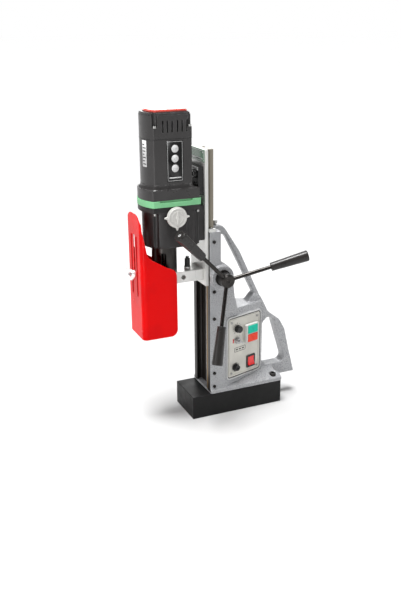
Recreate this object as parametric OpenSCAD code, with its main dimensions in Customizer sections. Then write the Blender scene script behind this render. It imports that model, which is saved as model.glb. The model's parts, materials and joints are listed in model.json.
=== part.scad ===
// Magnetic drill press: an electromagnet base, a cast stand with a dovetail
// column and a carrying handle, a carriage with motor, gearbox and spindle,
// a three-arm capstan for the feed, and a chip guard.
// Millimetres. Origin at the centre of the magnet's bottom face, +Z up,
// the spindle towards -Y, the capstan and the control panel towards +X.

/* [Magnet] */
// Length of the electromagnet
magnet_l = 250; // [220:1:260]
// Width of the electromagnet
magnet_w = 110; // [104:1:120]
// Height of the electromagnet
magnet_h = 60; // [50:1:70]

/* [Stand] */
// Width of the column
column_w = 100; // [96:1:108]
// Distance from the magnet's centre to the column's front face
column_y = 76; // [74:1:78]
// Depth of the column, front to back
column_d = 33; // [32:1:34]
// Height of the column's top above the magnet
column_h = 419; // [400:1:430]
// Height of the housing's top above the magnet
housing_h = 215; // [205:1:220]
// Half thickness of the carrying handle's upper bar
bar_half = 12; // [10:0.5:14]
// Half thickness of the hand grip
grip_half = 15; // [13:0.5:16]
// Angle of the control panel to the centre plane
panel_angle = 16.1; // [15:0.1:17]
// Width of the control panel
panel_w = 107; // [104:1:108]
// Height of the control panel
panel_h = 157; // [150:1:160]

/* [Slide and feed] */
// Length of the slide plate
slide_l = 326; // [310:1:330]
// Height of the slide's lower end when the carriage is up
slide_z = 346; // [340:1:350]
// Half width of the slide plate
slide_half = 45; // [43:1:47]
// Feed stroke, which sets how far the carriage may come down
stroke = 230; // [200:1:232]
// Module of the rack and its pinion
rack_module = 1.5; // [1.5:0.1:1.5]
// Teeth on the feed pinion
pinion_teeth = 20; // [20:1:20]
// Height of the capstan shaft
capstan_z = 366; // [360:1:370]
// Length of a capstan arm from the shaft's axis to the grip's end
arm_l = 203; // [190:1:215]
// Angle by which the arms lean outward
arm_rake = 14.4; // [10:0.1:18]
// Angle of the first arm above the rearward direction
arm_angle = 135.4; // [130:0.1:140]

/* [Drive] */
// Distance from the magnet's centre to the spindle axis
spindle_y = 172; // [172:1:172]
// Distance from the magnet's centre to the motor shaft
motor_y = 160; // [160:1:160]
// Distance from the magnet's centre to the layshaft
lay_y = 136; // [136:1:136]
// Half width of the gearbox
gearbox_half = 50; // [48:1:52]
// Half width of the motor
motor_half = 45; // [43:1:46]
// Bore of the tool arbor
tool_bore = 19.05; // [19.05:0.05:19.1]

/* [Guard] */
// Half width of the chip guard
guard_half = 50; // [48:1:52]
// Travel of the guard along its slot
guard_travel = 90; // [70:1:92]

/* [Hidden] */
$fn = 48;
// running clearance between a shaft and its bush
fit = 0.05;
// gap between faces that slide past each other
gap = 0.06;

top_z = magnet_h + column_h;
front_y = -column_y;
back_y = front_y + column_d;
col_x = column_w / 2;
house_top = magnet_h + housing_h;
pinion_r = rack_module * pinion_teeth / 2;
// pitch line of the rack, and the capstan shaft's axis
rack_y = front_y + 16;
shaft_y = rack_y + pinion_r;
// levels along the drive head, from the spindle's nose to the cap
nose_z = 388;
case_z = 452;
case_top = 550;
band_z = 551;
skirt_z = 565;
shoulder_z = 589;
seam_z = 702;
cap_top = 760;
insert_top = 765;
plate_front = front_y - 8.5;
plate_back = front_y - 0.3;

// ---------- helpers ----------

// extrudes a side view, drawn as (y, z), between two x values
module side(x0, x1) {
    translate([x0, 0, 0]) rotate([90, 0, 90]) linear_extrude(x1 - x0) children();
}

// extrudes a plan view, drawn as (x, y), between two heights
module plan(z0, z1) {
    translate([0, 0, z0]) linear_extrude(z1 - z0) children();
}

// a cylinder along x, centred on (y, z)
module rod_x(x0, x1, y, z, r) {
    translate([x0, y, z]) rotate([0, 90, 0]) cylinder(r = r, h = x1 - x0);
}

// a cylinder along y, centred on (x, z)
module rod_y(y0, y1, x, z, r) {
    translate([x, y0, z]) rotate([-90, 0, 0]) cylinder(r = r, h = y1 - y0);
}

// a cylinder along z, centred on (x, y)
module rod_z(z0, z1, x, y, r) {
    translate([x, y, z0]) cylinder(r = r, h = z1 - z0);
}

// a ring along z
module ring_z(z0, z1, x, y, r_out, r_in) {
    difference() {
        rod_z(z0, z1, x, y, r_out);
        rod_z(z0 - 1, z1 + 1, x, y, r_in);
    }
}

// moves children to the panel's plane: x along the panel, y up, z outward
module on_panel() {
    translate([panel_x, panel_y, 0]) rotate([0, 0, panel_angle]) rotate([90, 0, 90]) children();
}

function unit(v) = v / norm(v);

// the arc that rounds corner p, between the edges to a and to b
function corner(a, p, b, r, n = 5) = let (
        u = unit(a - p),
        v = unit(b - p),
        half = acos(u * v) / 2,
        c = p + unit(u + v) * r / sin(half),
        s = p + u * r / tan(half) - c,
        e = p + v * r / tan(half) - c,
        start = atan2(s[1], s[0]),
        sweep = atan2(cross(s, e), s * e)
    ) [for (i = [0:n]) c + r * [cos(start + sweep * i / n), sin(start + sweep * i / n)]];

// an outline whose points are [x, y, corner radius]
function rounded(pts) = let (n = len(pts)) [for (i = [0:n - 1])
        let (a = pts[(i + n - 1) % n], p = pts[i], b = pts[(i + 1) % n])
        each (p[2] == 0 ? [[p[0], p[1]]]
            : corner([a[0], a[1]], [p[0], p[1]], [b[0], b[1]], p[2]))];

// a rectangle with rounded corners, centred on the origin
module round_rect(w, h, r) {
    polygon(rounded([[-w / 2, -h / 2, r], [w / 2, -h / 2, r], [w / 2, h / 2, r], [-w / 2, h / 2, r]]));
}

// a plan with flat sides and a front that bulges forward by an arc
module bulged(half, side_front, bulge, back) {
    arc_r = (half * half + bulge * bulge) / (2 * bulge);
    intersection() {
        translate([-half, side_front - bulge]) square([2 * half, back - side_front + bulge]);
        translate([0, side_front - bulge + arc_r]) circle(r = arc_r, $fn = 96);
    }
}

// involute tooth: the polar angle at radius r of a flank that starts at the base circle
function inv_angle(r, base) = let (t = sqrt(max(0, (r / base) * (r / base) - 1))) t * 180 / PI - atan(t);

// an external gear outline; slack thins each tooth for backlash
function gear_points(m, z, pressure, slack) = let (
        rp = m * z / 2,
        rb = rp * cos(pressure),
        ra = rp + 0.95 * m,
        rf = rp - 1.25 * m,
        r0 = max(rb, rf + 0.1 * m),
        half = 90 / z - slack / rp * 90 / PI + inv_angle(rp, rb)
    ) [for (i = [0:z - 1]) let (a = 360 * i / z) each concat(
            [rf * [cos(a - half - 0.5), sin(a - half - 0.5)]],
            [for (k = [0:4]) let (r = r0 + (ra - r0) * k / 4, f = a - half + inv_angle(r, rb))
                r * [cos(f), sin(f)]],
            [for (k = [4:-1:0]) let (r = r0 + (ra - r0) * k / 4, f = a + half - inv_angle(r, rb))
                r * [cos(f), sin(f)]],
            [rf * [cos(a + half + 0.5), sin(a + half + 0.5)]])];

module gear(m, z, pressure, h, phase = 0) {
    rotate([0, 0, phase]) linear_extrude(h) polygon(gear_points(m, z, pressure, 0.12));
}

// half width of the dovetail at depth y
function flank(y) = 30 + (y - plate_back) * 8 / (land_y - plate_back);
land_y = front_y + 8;
dove_half = 38;
gib_t = 4;

// ---------- magnet ----------

groove_out = [82, 212];
groove_in = [50, 180];
groove_top = 46;
potting_top = 8;
bolt_spots = [[41, 108], [-41, 108], [26, -12], [-26, -12]];
bolt_r = 5;
flange_edge = 9;

module groove_ring(z0, z1) {
    plan(z0, z1) difference() {
        round_rect(groove_out[0], groove_out[1], 14);
        round_rect(groove_in[0], groove_in[1], 6);
    }
}

module magnet_core() {
    color([0.12, 0.12, 0.13]) difference() {
        translate([-magnet_w / 2, -magnet_l / 2, 0]) cube([magnet_w, magnet_l, magnet_h]);
        groove_ring(-1, groove_top);
        for (p = bolt_spots) rod_z(magnet_h - 12, magnet_h + 1, p[0], p[1], bolt_r);
    }
}

module magnet_coil() {
    color("peru") groove_ring(potting_top, groove_top);
}

module magnet_potting() {
    color([0.2, 0.2, 0.22]) groove_ring(0.5, potting_top);
}

// ---------- stand casting ----------

// the panel's wall runs back from here
wall_start = [col_x, -34.3];
wall_end_x = 16;
wall_end_y = wall_start[1] + (col_x - wall_end_x) / tan(panel_angle);
panel_t = 3;
// the panel's lower front corner lies on the wall, a lip's width behind its start
panel_lip = 8.3;
panel_x = wall_start[0] - panel_lip * sin(panel_angle);
panel_y = wall_start[1] + panel_lip * cos(panel_angle);
panel_z = 93;
wall_t = 7;
boss_r = 30;
boss_x = 60;
bush_r = 18;
bush_in = 42.2;
channel_z = magnet_h + 6;

module housing_plan(inset) {
    shift = inset / cos(panel_angle);
    front = back_y - 2 + inset * 1.6;
    x_front = col_x - shift - max(0, (front - wall_start[1]) * tan(panel_angle));
    knee = wall_start[1];
    back = wall_end_y - (inset > 0 ? (inset + 3) : 0);
    x_end = wall_end_x + (wall_end_y - back) * tan(panel_angle) - (inset > 0 ? shift : 0);
    polygon([[-x_front, front], [x_front, front], [col_x - shift, max(knee, front)],
        [x_end, back], [-x_end, back], [-(col_x - shift), max(knee, front)]]);
}

// the upper bar, which rises from the housing to the column's top
module upper_bar() {
    side(-bar_half, bar_half) polygon(rounded([
        [back_y - 14, top_z - 30, 0], [back_y - 14, top_z + 5, 0], [-22, top_z + 5, 26],
        [24, 412, 40], [88, 275, 0], [66, 262, 0], [66, 293, 0],
        [8, 411, 40], [-18, top_z - 18, 18], [back_y - 1, top_z - 18, 0]]));
}

// the D-shaped hand hole, with finger waves along its rear edge
module hand_hole() {
    top = [122, 214];
    foot = [159, 93];
    along = unit(foot - top);
    out = [along[1], -along[0]];
    span = norm(foot - top);
    wave_depth = 3.4;
    waves = [for (i = [1:23]) let (t = i / 24)
        concat(top + along * span * t - out * wave_depth * (1 - cos(360 * 4.5 * t)) / 2, [0])];
    difference() {
        polygon(rounded([[88, 93, 14], [88, 214, 16], [107, 230, 10], concat(top, 10), concat(foot, 14)]));
        polygon(concat([[top[0] + 5, top[1]]], [for (w = waves) [w[0], w[1]]], [[foot[0] + 5, foot[1]]]));
    }
}

// the lower web with the hand hole
module grip_web() {
    side(-grip_half, grip_half) difference() {
        polygon(rounded([[40, magnet_h, 0], [186, magnet_h, 0], [168, 130, 40], [155, 186, 30],
            [139, 215, 16], [104, 243, 30], [84, 285, 0], [64, 296, 0], [40, 270, 0]]));
        hand_hole();
    }
}

module base_flange() {
    intersection() {
        translate([0, 128, 0]) rotate([90, 0, 0]) linear_extrude(128 - front_y) polygon([
            [-magnet_w / 2, magnet_h], [magnet_w / 2, magnet_h],
            [magnet_w / 2, magnet_h + flange_edge], [col_x - 36, magnet_h + 30],
            [36 - col_x, magnet_h + 30], [-magnet_w / 2, magnet_h + flange_edge]]);
        plan(magnet_h - 1, magnet_h + 40) polygon(rounded([[-magnet_w / 2, front_y, 4],
            [magnet_w / 2, front_y, 4], [magnet_w / 2, 128, 3], [38, 128, 12],
            [30, 118, 8], [-30, 118, 8], [-38, 128, 12], [-magnet_w / 2, 128, 3]]));
    }
}

// the column's rear edges are rounded above the fairing
fairing_z = 404;

// a solid fairing between the column, the shaft boss and the housing
module boss_fairing() {
    side(-col_x, col_x) polygon(rounded([[back_y - 6, house_top - 5, 0], [back_y - 6, fairing_z, 0],
        [back_y + 6, 400, 10], [-20, 386, 14], [-13, 362, 14], [-8, 312, 20], [2, house_top - 5, 0]]));
}

// a frame around the panel, flush with it
module panel_frame() {
    intersection() {
        on_panel() translate([panel_w / 2, panel_z + panel_h / 2, -4]) linear_extrude(4 + panel_t + 0.5)
            round_rect(panel_w + 12, panel_h + 14, 11);
        translate([0, front_y, magnet_h]) cube([col_x, 300, 300]);
    }
}

module slide_channel() {
    x0 = flank(front_y);
    plan(channel_z, top_z + 30) polygon([
        [x0 + gib_t, front_y - 1], [x0 + gib_t, front_y], [dove_half + gib_t, land_y],
        [dove_half + gib_t, rack_y + 0.1], [-dove_half - gap, rack_y + 0.1],
        [-dove_half - gap, land_y], [-x0 - gap, front_y], [-x0 - gap, front_y - 1]]);
    // groove for the rack's teeth
    plan(channel_z, top_z + 30) translate([-11, rack_y]) square([22, 3]);
}

gib_screw_z = [78, 114, 260, 330, 455];
gib_screw_y = front_y + 12;

module stand_casting() {
    color([0.72, 0.73, 0.74]) difference() {
        union() {
            translate([-col_x, front_y, magnet_h]) cube([column_w, column_d, fairing_z - magnet_h]);
            plan(fairing_z, top_z) polygon(rounded([[-col_x, front_y, 0], [col_x, front_y, 0],
                [col_x, back_y, 8], [-col_x, back_y, 8]]));
            plan(magnet_h, house_top) housing_plan(0);
            boss_fairing();
            rod_x(-boss_x, boss_x, shaft_y, capstan_z, boss_r);
            upper_bar();
            grip_web();
            base_flange();
            panel_frame();
        }
        slide_channel();
        // the panel lies in a shallow recess
        on_panel() translate([panel_w / 2, panel_z + panel_h / 2, 0]) linear_extrude(20)
            round_rect(panel_w + 4, panel_h + 4, 8);
        // pinion bore, with its bushes' seats
        rod_x(-boss_x - 1, boss_x + 1, shaft_y, capstan_z, bush_r);
        // housing cavity
        plan(magnet_h + 12, house_top - 9) housing_plan(wall_t);
        // opening behind the control panel
        on_panel() translate([panel_w / 2, panel_z + panel_h / 2, -wall_t - 6])
            linear_extrude(wall_t + 7) square([panel_w - 20, panel_h - 20], center = true);
        for (p = bolt_spots) {
            rod_z(magnet_h - 1, magnet_h + 40, p[0], p[1], bolt_r + 0.3);
            rod_z(magnet_h + 10, magnet_h + (p[1] > 0 ? 40 : 12.5), p[0], p[1], 8.5);
        }
        for (z = gib_screw_z) rod_x(dove_half, col_x + 1, gib_screw_y, z, 2.6);
        // entry of the mains lead
        mirror([1, 0, 0]) on_panel() translate([gland_u, gland_z, -20]) cylinder(r = 8.1, h = 25);
    }
}

module base_bolts() {
    color([0.25, 0.25, 0.27]) for (p = bolt_spots) difference() {
        union() {
            rod_z(magnet_h - 11.5, magnet_h + 10, p[0], p[1], bolt_r - 0.05);
            rod_z(magnet_h + 10, magnet_h + 19, p[0], p[1], 8);
        }
        translate([p[0], p[1], magnet_h + 14]) cylinder(r = 4.6, h = 6, $fn = 6);
    }
}

module gib_strip() {
    x0 = flank(front_y);
    color([0.62, 0.5, 0.28]) plan(channel_z + 2, top_z - 1) polygon([
        [x0 + gap, front_y], [dove_half + gap, land_y], [dove_half + gap, rack_y],
        [dove_half + gib_t, rack_y], [dove_half + gib_t, land_y], [x0 + gib_t, front_y]]);
}

module gib_screws() {
    color([0.55, 0.56, 0.58]) for (z = gib_screw_z) difference() {
        union() {
            rod_x(dove_half + gib_t, col_x, gib_screw_y, z, 2.5);
            translate([col_x, gib_screw_y, z]) rotate([0, 90, 0]) cylinder(r = 4.6, h = 2.4, $fn = 6);
            rod_x(col_x, col_x + 4, gib_screw_y, z, 2.5);
        }
        translate([col_x + 1.5, gib_screw_y, z]) rotate([0, 90, 0]) cylinder(r = 1.4, h = 4, $fn = 6);
    }
}

// end stops on the tops of the column's two walls
module column_caps() {
    color([0.8, 0.81, 0.82]) for (sx = [-1, 1])
        plan(top_z, top_z + 7) polygon(rounded([[sx * (dove_half + 1), front_y + 1, 2],
            [sx * (col_x - 1), front_y + 1, 2], [sx * (col_x - 1), front_y + 18, 2],
            [sx * (dove_half + 1), front_y + 18, 2]]));
}

module cap_screws() {
    color([0.7, 0.71, 0.72]) {
        for (sx = [-1, 1]) difference() {
            rod_z(top_z + 7, top_z + 10, sx * (col_x - 6.5), front_y + 9, 3.5);
            translate([sx * (col_x - 6.5), front_y + 9, top_z + 8.6]) cylinder(r = 1.9, h = 2, $fn = 6);
        }
        // thumb screw on the handle's top
        rod_z(top_z + 5, top_z + 9, 0, -40, 4);
        rod_z(top_z + 9, top_z + 17, 0, -40, 7);
    }
}

module pinion_bushes() {
    color([0.72, 0.55, 0.3]) for (m = [0, 1]) mirror([m, 0, 0]) difference() {
        union() {
            rod_x(bush_in, boss_x, shaft_y, capstan_z, bush_r - 0.02);
            rod_x(boss_x, boss_x + 2, shaft_y, capstan_z, bush_r + 2);
        }
        rod_x(bush_in - 1, boss_x + 3, shaft_y, capstan_z, 10);
    }
}

// ---------- control panel ----------

// places on the panel, as [along, height]
switch_at = [75, 200.5];
switch_size = [42, 50];
switch_proud = 12;
rocker_at = [76, 121];
rocker_size = [29, 34];
speed_at = [30, 221];
mode_at = [30, 189];
fuse_at = [24, 117];
gland_u = 50;
gland_z = 112;
screw_in = 10;

module control_panel() {
    color([0.86, 0.86, 0.84]) on_panel() difference() {
        union() {
            translate([panel_w / 2, panel_z + panel_h / 2, 0]) linear_extrude(panel_t)
                round_rect(panel_w, panel_h, 6);
            // raised rim
            translate([panel_w / 2, panel_z + panel_h / 2, panel_t]) linear_extrude(1.2) difference() {
                round_rect(panel_w - 6, panel_h - 6, 4);
                round_rect(panel_w - 11, panel_h - 11, 3);
            }
        }
        translate([switch_at[0], switch_at[1], -1]) linear_extrude(8) square([36, 44], center = true);
        translate([rocker_at[0], rocker_at[1], -1]) linear_extrude(8) square([24, 29], center = true);
        for (p = [speed_at, mode_at]) translate([p[0], p[1], -1]) cylinder(r = 3.1, h = 8);
        translate([fuse_at[0], fuse_at[1], -1]) cylinder(r = 6.5, h = 8);
    }
}

module panel_screws() {
    color([0.75, 0.76, 0.78]) on_panel()
        for (u = [screw_in, panel_w - screw_in], v = [screw_in, panel_h - screw_in])
            translate([u, panel_z + v, panel_t]) difference() {
                cylinder(r = 2.9, h = 1.8);
                translate([0, 0, 0.8]) cylinder(r = 1.5, h = 2, $fn = 6);
            }
}

module circuit_board() {
    color([0.1, 0.35, 0.2]) mirror([1, 0, 0]) on_panel() {
        translate([20, 112, -wall_t - 9]) cube([62, 100, 1.6]);
        for (u = [25, 77], z = [118, 206]) translate([u, z, -wall_t - 7.4]) cylinder(r = 3, h = 7.4);
        translate([30, 130, -wall_t - 15]) cube([22, 30, 6]);
        translate([58, 165, -wall_t - 14]) cylinder(r = 7, h = 5);
    }
}

module switch_block() {
    color([0.9, 0.9, 0.88]) on_panel() translate([switch_at[0], switch_at[1], 0]) difference() {
        union() {
            translate([0, 0, panel_t]) linear_extrude(switch_proud - panel_t)
                round_rect(switch_size[0], switch_size[1], 3);
            translate([0, 0, -16]) linear_extrude(16 + panel_t) square([35.6, 43.6], center = true);
        }
        for (s = [-1, 1]) translate([0, s * 11.5, 0]) linear_extrude(switch_proud + 1)
            square([32.6, 20.6], center = true);
    }
}

module twin_button(s) {
    on_panel() translate([switch_at[0], switch_at[1] + s * 11.5, 4]) {
        linear_extrude(switch_proud - 2.5) round_rect(32, 20, 1.2);
        if (s > 0) translate([0, 0, switch_proud - 2.5]) linear_extrude(0.5)
            square([1.6, 9], center = true);
        if (s < 0) translate([0, 0, switch_proud - 2.5]) difference() {
            cylinder(r = 4.6, h = 0.5);
            translate([0, 0, -1]) cylinder(r = 3.2, h = 3);
        }
    }
}

module start_button() {
    color([0.05, 0.62, 0.48]) twin_button(1);
}

module stop_button() {
    color([0.88, 0.16, 0.12]) twin_button(-1);
}

module rocker_bezel() {
    color([0.07, 0.07, 0.08]) on_panel() translate([rocker_at[0], rocker_at[1], 0]) difference() {
        union() {
            translate([0, 0, panel_t]) linear_extrude(2.4) round_rect(rocker_size[0], rocker_size[1], 2);
            translate([0, 0, -14]) linear_extrude(14 + panel_t) square([23.6, 28.6], center = true);
        }
        translate([0, 0, -8]) linear_extrude(20) square([21, 26], center = true);
    }
}

// the paddle is a shallow V that rocks about the panel's length direction
rocker_tilt = 9;

module magnet_rocker() {
    color([0.85, 0.05, 0.06]) on_panel() translate([rocker_at[0], rocker_at[1], 0])
        rotate([-rocker_tilt, 0, 0]) translate([-10, 0, 0]) rotate([90, 0, 90]) linear_extrude(20)
            polygon([[-11.6, 7.4], [0, 5.4], [11.6, 7.4], [10.2, 2], [4, -3.5], [-4, -3.5], [-10.2, 2]]);
}

module knob(at, r, h, stem) {
    on_panel() translate([at[0], at[1], 0]) {
        translate([0, 0, -6]) cylinder(r = stem, h = 8 + panel_t);
        translate([0, 0, panel_t + 0.4]) cylinder(r = r, h = h * 0.35);
        translate([0, 0, panel_t + 0.4]) cylinder(r = r - 1.5, h = h);
    }
}

module speed_knob() {
    color([0.08, 0.08, 0.09]) {
        knob(speed_at, 10, 11, 3);
        on_panel() translate([speed_at[0] - 0.7, speed_at[1] + 1, panel_t + 11]) cube([1.4, 6.5, 1]);
    }
}

module mode_selector() {
    color([0.5, 0.5, 0.52]) {
        knob(mode_at, 9, 7, 3);
        on_panel() translate([mode_at[0], mode_at[1], panel_t + 7]) rotate([0, 0, -120])
            translate([-2.2, -3, 0]) cube([4.4, 14, 5]);
    }
}

module fuse_holder() {
    color([0.06, 0.06, 0.07]) on_panel() translate([fuse_at[0], fuse_at[1], 0]) difference() {
        union() {
            translate([0, 0, -18]) cylinder(r = 6.3, h = 18 + panel_t);
            translate([0, 0, panel_t]) cylinder(r = 10, h = 3);
            translate([0, 0, panel_t + 3]) cylinder(r = 7.5, h = 7);
        }
        translate([-6, -0.8, panel_t + 8.6]) cube([12, 1.6, 3]);
    }
}

module mains_gland() {
    color([0.08, 0.08, 0.08]) mirror([1, 0, 0]) on_panel() translate([gland_u, gland_z, 0]) difference() {
        union() {
            translate([0, 0, -wall_t - 4]) cylinder(r = 8, h = wall_t + 4);
            cylinder(r = 12, h = 5, $fn = 6);
            translate([0, 0, 5]) cylinder(r = 9.5, h = 12);
        }
        translate([0, 0, -20]) cylinder(r = 4.2, h = 50);
    }
}

// ---------- slide ----------

slide_top = slide_z + slide_l;
slide_bolt_z = [372, 408, 484, 536, 600, 655];

module slide_plate() {
    color([0.82, 0.83, 0.84]) difference() {
        translate([-slide_half, plate_front, slide_z])
            cube([2 * slide_half, plate_back - plate_front, slide_l]);
        for (sx = [-1, 1], z = slide_bolt_z) {
            rod_y(plate_front - 1, plate_back + 1, sx * 20, z, 3.3);
            rod_y(plate_front - 1, plate_front + 4.2, sx * 20, z, 5.3);
        }
    }
}

module slide_dovetail() {
    color([0.55, 0.5, 0.42]) difference() {
        plan(slide_z, slide_top) polygon([[-30, plate_back], [30, plate_back], [dove_half, land_y],
            [dove_half, rack_y - 0.1], [-dove_half, rack_y - 0.1], [-dove_half, land_y]]);
        // slot for the rack and the pinion's teeth
        plan(slide_z - 1, slide_top + 1) translate([-10.3, land_y]) square([20.6, 20]);
        for (sx = [-1, 1], z = slide_bolt_z) rod_y(plate_back - 1, plate_back + 12, sx * 20, z, 3);
    }
}

// points of one rack tooth that starts at height z
function rack_tooth(z) = let (
        p = PI * rack_module,
        tip = rack_y + rack_module * 0.95,
        root = rack_y - rack_module * 1.25,
        lean_tip = rack_module * 0.95 * tan(20),
        lean_root = rack_module * 1.25 * tan(20),
        half = p / 4 - 0.06
    ) [[root, z - half - lean_root], [tip, z - half + lean_tip], [tip, z + half - lean_tip],
        [root, z + half + lean_root]];

// the rack meshes over the whole stroke, with some teeth to spare at both ends
rack_l = stroke + 42;

module feed_rack() {
    p = PI * rack_module;
    n = floor(rack_l / p / 2);
    // a tooth space faces the pinion's tooth at the shaft's height
    first = capstan_z + p / 2 - 4 * p;
    color([0.5, 0.51, 0.54]) side(-10, 10) polygon(concat([[land_y, first - p / 2]],
        [for (i = [0:2 * n - 1]) each rack_tooth(first + i * p)],
        [[land_y, first + (2 * n - 0.5) * p]]));
}

module slide_bolts() {
    color([0.3, 0.3, 0.32]) for (sx = [-1, 1], z = slide_bolt_z) difference() {
        union() {
            rod_y(plate_front + 4.2, plate_back + 10, sx * 20, z, 2.95);
            rod_y(plate_front + 0.4, plate_front + 4.2, sx * 20, z, 5);
        }
        translate([sx * 20, plate_front + 2.8, z]) rotate([90, 0, 0]) cylinder(r = 2.9, h = 4, $fn = 6);
    }
}

module name_plate() {
    color([0.25, 0.42, 0.3]) translate([-42, plate_front - 1.5, 643]) cube([85, 1.5, 28]);
}

// junction box between the motor and the slide
box_front = plate_front - 14;

box_z = 568;
cable_at = [24, 616];

module junction_box() {
    color([0.08, 0.08, 0.09]) difference() {
        translate([-38, box_front, box_z]) cube([76, 14, 66]);
        translate([-35, box_front + 3, box_z + 3]) cube([70, 12, 60]);
        rod_y(box_front - 1, box_front + 4, cable_at[0], cable_at[1], 8.1);
    }
}

module motor_gland() {
    color([0.1, 0.1, 0.1]) difference() {
        union() {
            rod_y(box_front, box_front + 8, cable_at[0], cable_at[1], 8);
            translate([cable_at[0], box_front, cable_at[1]]) rotate([90, 0, 0])
                cylinder(r = 11, h = 3, $fn = 6);
            rod_y(box_front - 8, box_front - 3, cable_at[0], cable_at[1], 9);
        }
        rod_y(box_front - 9, box_front + 9, cable_at[0], cable_at[1], 4);
    }
}

// ---------- gearbox ----------

case_side = -214;
case_bulge = 15;
case_back = -100;

module head_plan(inset) {
    bulged(gearbox_half - inset, case_side, case_bulge - inset / 2, case_back - inset);
}

flange_z = 537;
front_screw = [45.5, -209.5];
rear_screw = [46.4, -103.6];
// channels that give access to the flange's screws, as [x, y, radius]
channels = [[40.5, -206.5, 7], [49, -105, 6.5]];
rib_y = [-134, -118];

// the case below its flange: round at the front, around the spindle
module case_plan(inset) {
    half = gearbox_half - inset;
    translate([0, -spindle_y]) circle(r = half, $fn = 96);
    translate([-half, -spindle_y]) square([2 * half, spindle_y + case_back - 2 * inset]);
}

module gearbox_case() {
    neck_z = case_z + 8;
    neck_top = case_top - 6;
    color([0.13, 0.13, 0.14]) difference() {
        union() {
            plan(case_z + 3, flange_z) case_plan(0);
            plan(case_z, case_z + 3) case_plan(1.5);
            plan(flange_z, case_top) head_plan(0);
            // neck that bolts to the slide plate
            translate([-40, case_back - 2, neck_z])
                cube([80, plate_front - case_back + 2, neck_top - neck_z]);
            // vertical ribs on both sides
            for (sx = [-1, 1], y = rib_y)
                translate([sx * gearbox_half - 1.5, y, neck_z]) cube([3, 5, flange_z - neck_z]);
        }
        difference() {
            plan(case_z + 8, gear_plate_z) case_plan(8);
            // floor bosses around the lower bearings
            rod_z(case_z, case_z + 18, 0, -spindle_y, 30);
            rod_z(case_z, case_z + 12, 0, -lay_y, 15);
        }
        plan(gear_plate_z, case_top + 1) case_plan(6);
        rod_z(case_z - 1, case_z + 3, 0, -spindle_y, 20);
        rod_z(case_z + 3, case_z + 19, 0, -spindle_y, 23.5);
        rod_z(case_z + 4, case_z + 19, 0, -lay_y, 11);
        rod_x(gearbox_half - 8, gearbox_half + 3, knob_y, knob_z, 5.05);
        for (sx = [-1, 1], c = channels) rod_z(case_z - 1, flange_z, sx * c[0], c[1], c[2]);
    }
}

gear_plate_z = 496;
gear_plate_t = 13;

module gear_plate() {
    color([0.6, 0.61, 0.63]) difference() {
        plan(gear_plate_z, gear_plate_z + gear_plate_t) case_plan(6.2);
        rod_z(gear_plate_z - 1, gear_plate_z + 10, 0, -spindle_y, 21);
        rod_z(gear_plate_z - 1, gear_plate_z + 20, 0, -spindle_y, 13);
        rod_z(gear_plate_z - 1, gear_plate_z + 20, 0, -lay_y, 12);
    }
}

module band_gasket() {
    color([0.35, 0.85, 0.4]) difference() {
        plan(case_top, skirt_z) head_plan(-2);
        plan(case_top - 1, skirt_z + 1) head_plan(6);
        // the band is lower along the middle of each side
        for (sx = [-1, 1]) translate([sx * (gearbox_half + 1) - 4, case_side + 15, skirt_z - 4.5])
            cube([8, 81, 5]);
    }
}

// ---------- motor ----------

body_side = -207;
body_bulge = 14;
body_back = -116;

module motor_plan(inset) {
    bulged(motor_half - inset, body_side, body_bulge - inset / 2, body_back - inset);
}

module motor_housing() {
    color([0.16, 0.16, 0.17]) difference() {
        union() {
            // register inside the band, with the bearing seats
            plan(band_z, skirt_z) head_plan(6.2);
            plan(skirt_z, shoulder_z) head_plan(0);
            plan(shoulder_z, seam_z) motor_plan(0);
        }
        plan(skirt_z + 6, seam_z + 1) motor_plan(4);
        rod_z(band_z - 1, band_z + 8, 0, -lay_y, 11);
        rod_z(band_z + 10, skirt_z + 8, 0, -motor_y, 14);
        rod_z(band_z - 1, skirt_z + 8, 0, -motor_y, 8);
    }
}

vent_y = [-185, -174, -163, -150, -139, -128];
cap_screw_x = motor_half - 2;
cap_screw_y = [body_side + 3, body_back - 4];
cap_screw_z = 727;

module motor_cap() {
    color([0.15, 0.15, 0.16]) {
        difference() {
            union() {
                plan(seam_z, cap_top - 6) motor_plan(0);
                plan(cap_top - 6, cap_top - 2) motor_plan(1.5);
                plan(cap_top - 2, cap_top) motor_plan(4);
            }
            plan(seam_z - 1, cap_top - 5) motor_plan(4);
            // vents on both sides
            for (sx = [-1, 1], y = vent_y)
                translate([sx * (motor_half - 3) - 5, y - 1.6, 716]) cube([10, 3.2, 26]);
            // screw recesses at the corners, open at the top
            for (sx = [-1, 1], y = cap_screw_y) rod_z(cap_screw_z, cap_top + 1, sx * cap_screw_x, y, 6);
        }
        // walls and floors of the screw recesses
        for (sx = [-1, 1], y = cap_screw_y) intersection() {
            difference() {
                rod_z(cap_screw_z - 7, cap_top - 5, sx * cap_screw_x, y, 8);
                rod_z(cap_screw_z, cap_top, sx * cap_screw_x, y, 6);
            }
            plan(cap_screw_z - 7, cap_top - 5) motor_plan(2);
        }
        // seat of the upper bearing
        difference() {
            rod_z(734, cap_top - 4, 0, -motor_y, 17);
            rod_z(733, 744, 0, -motor_y, 13);
        }
    }
}

module cap_insert() {
    color([0.75, 0.12, 0.1]) {
        plan(cap_top, insert_top - 1.5) bulged(38, body_side + 6, 10, body_back - 8);
        plan(insert_top - 1.5, insert_top) bulged(36, body_side + 8, 9, body_back - 10);
    }
}

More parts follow.
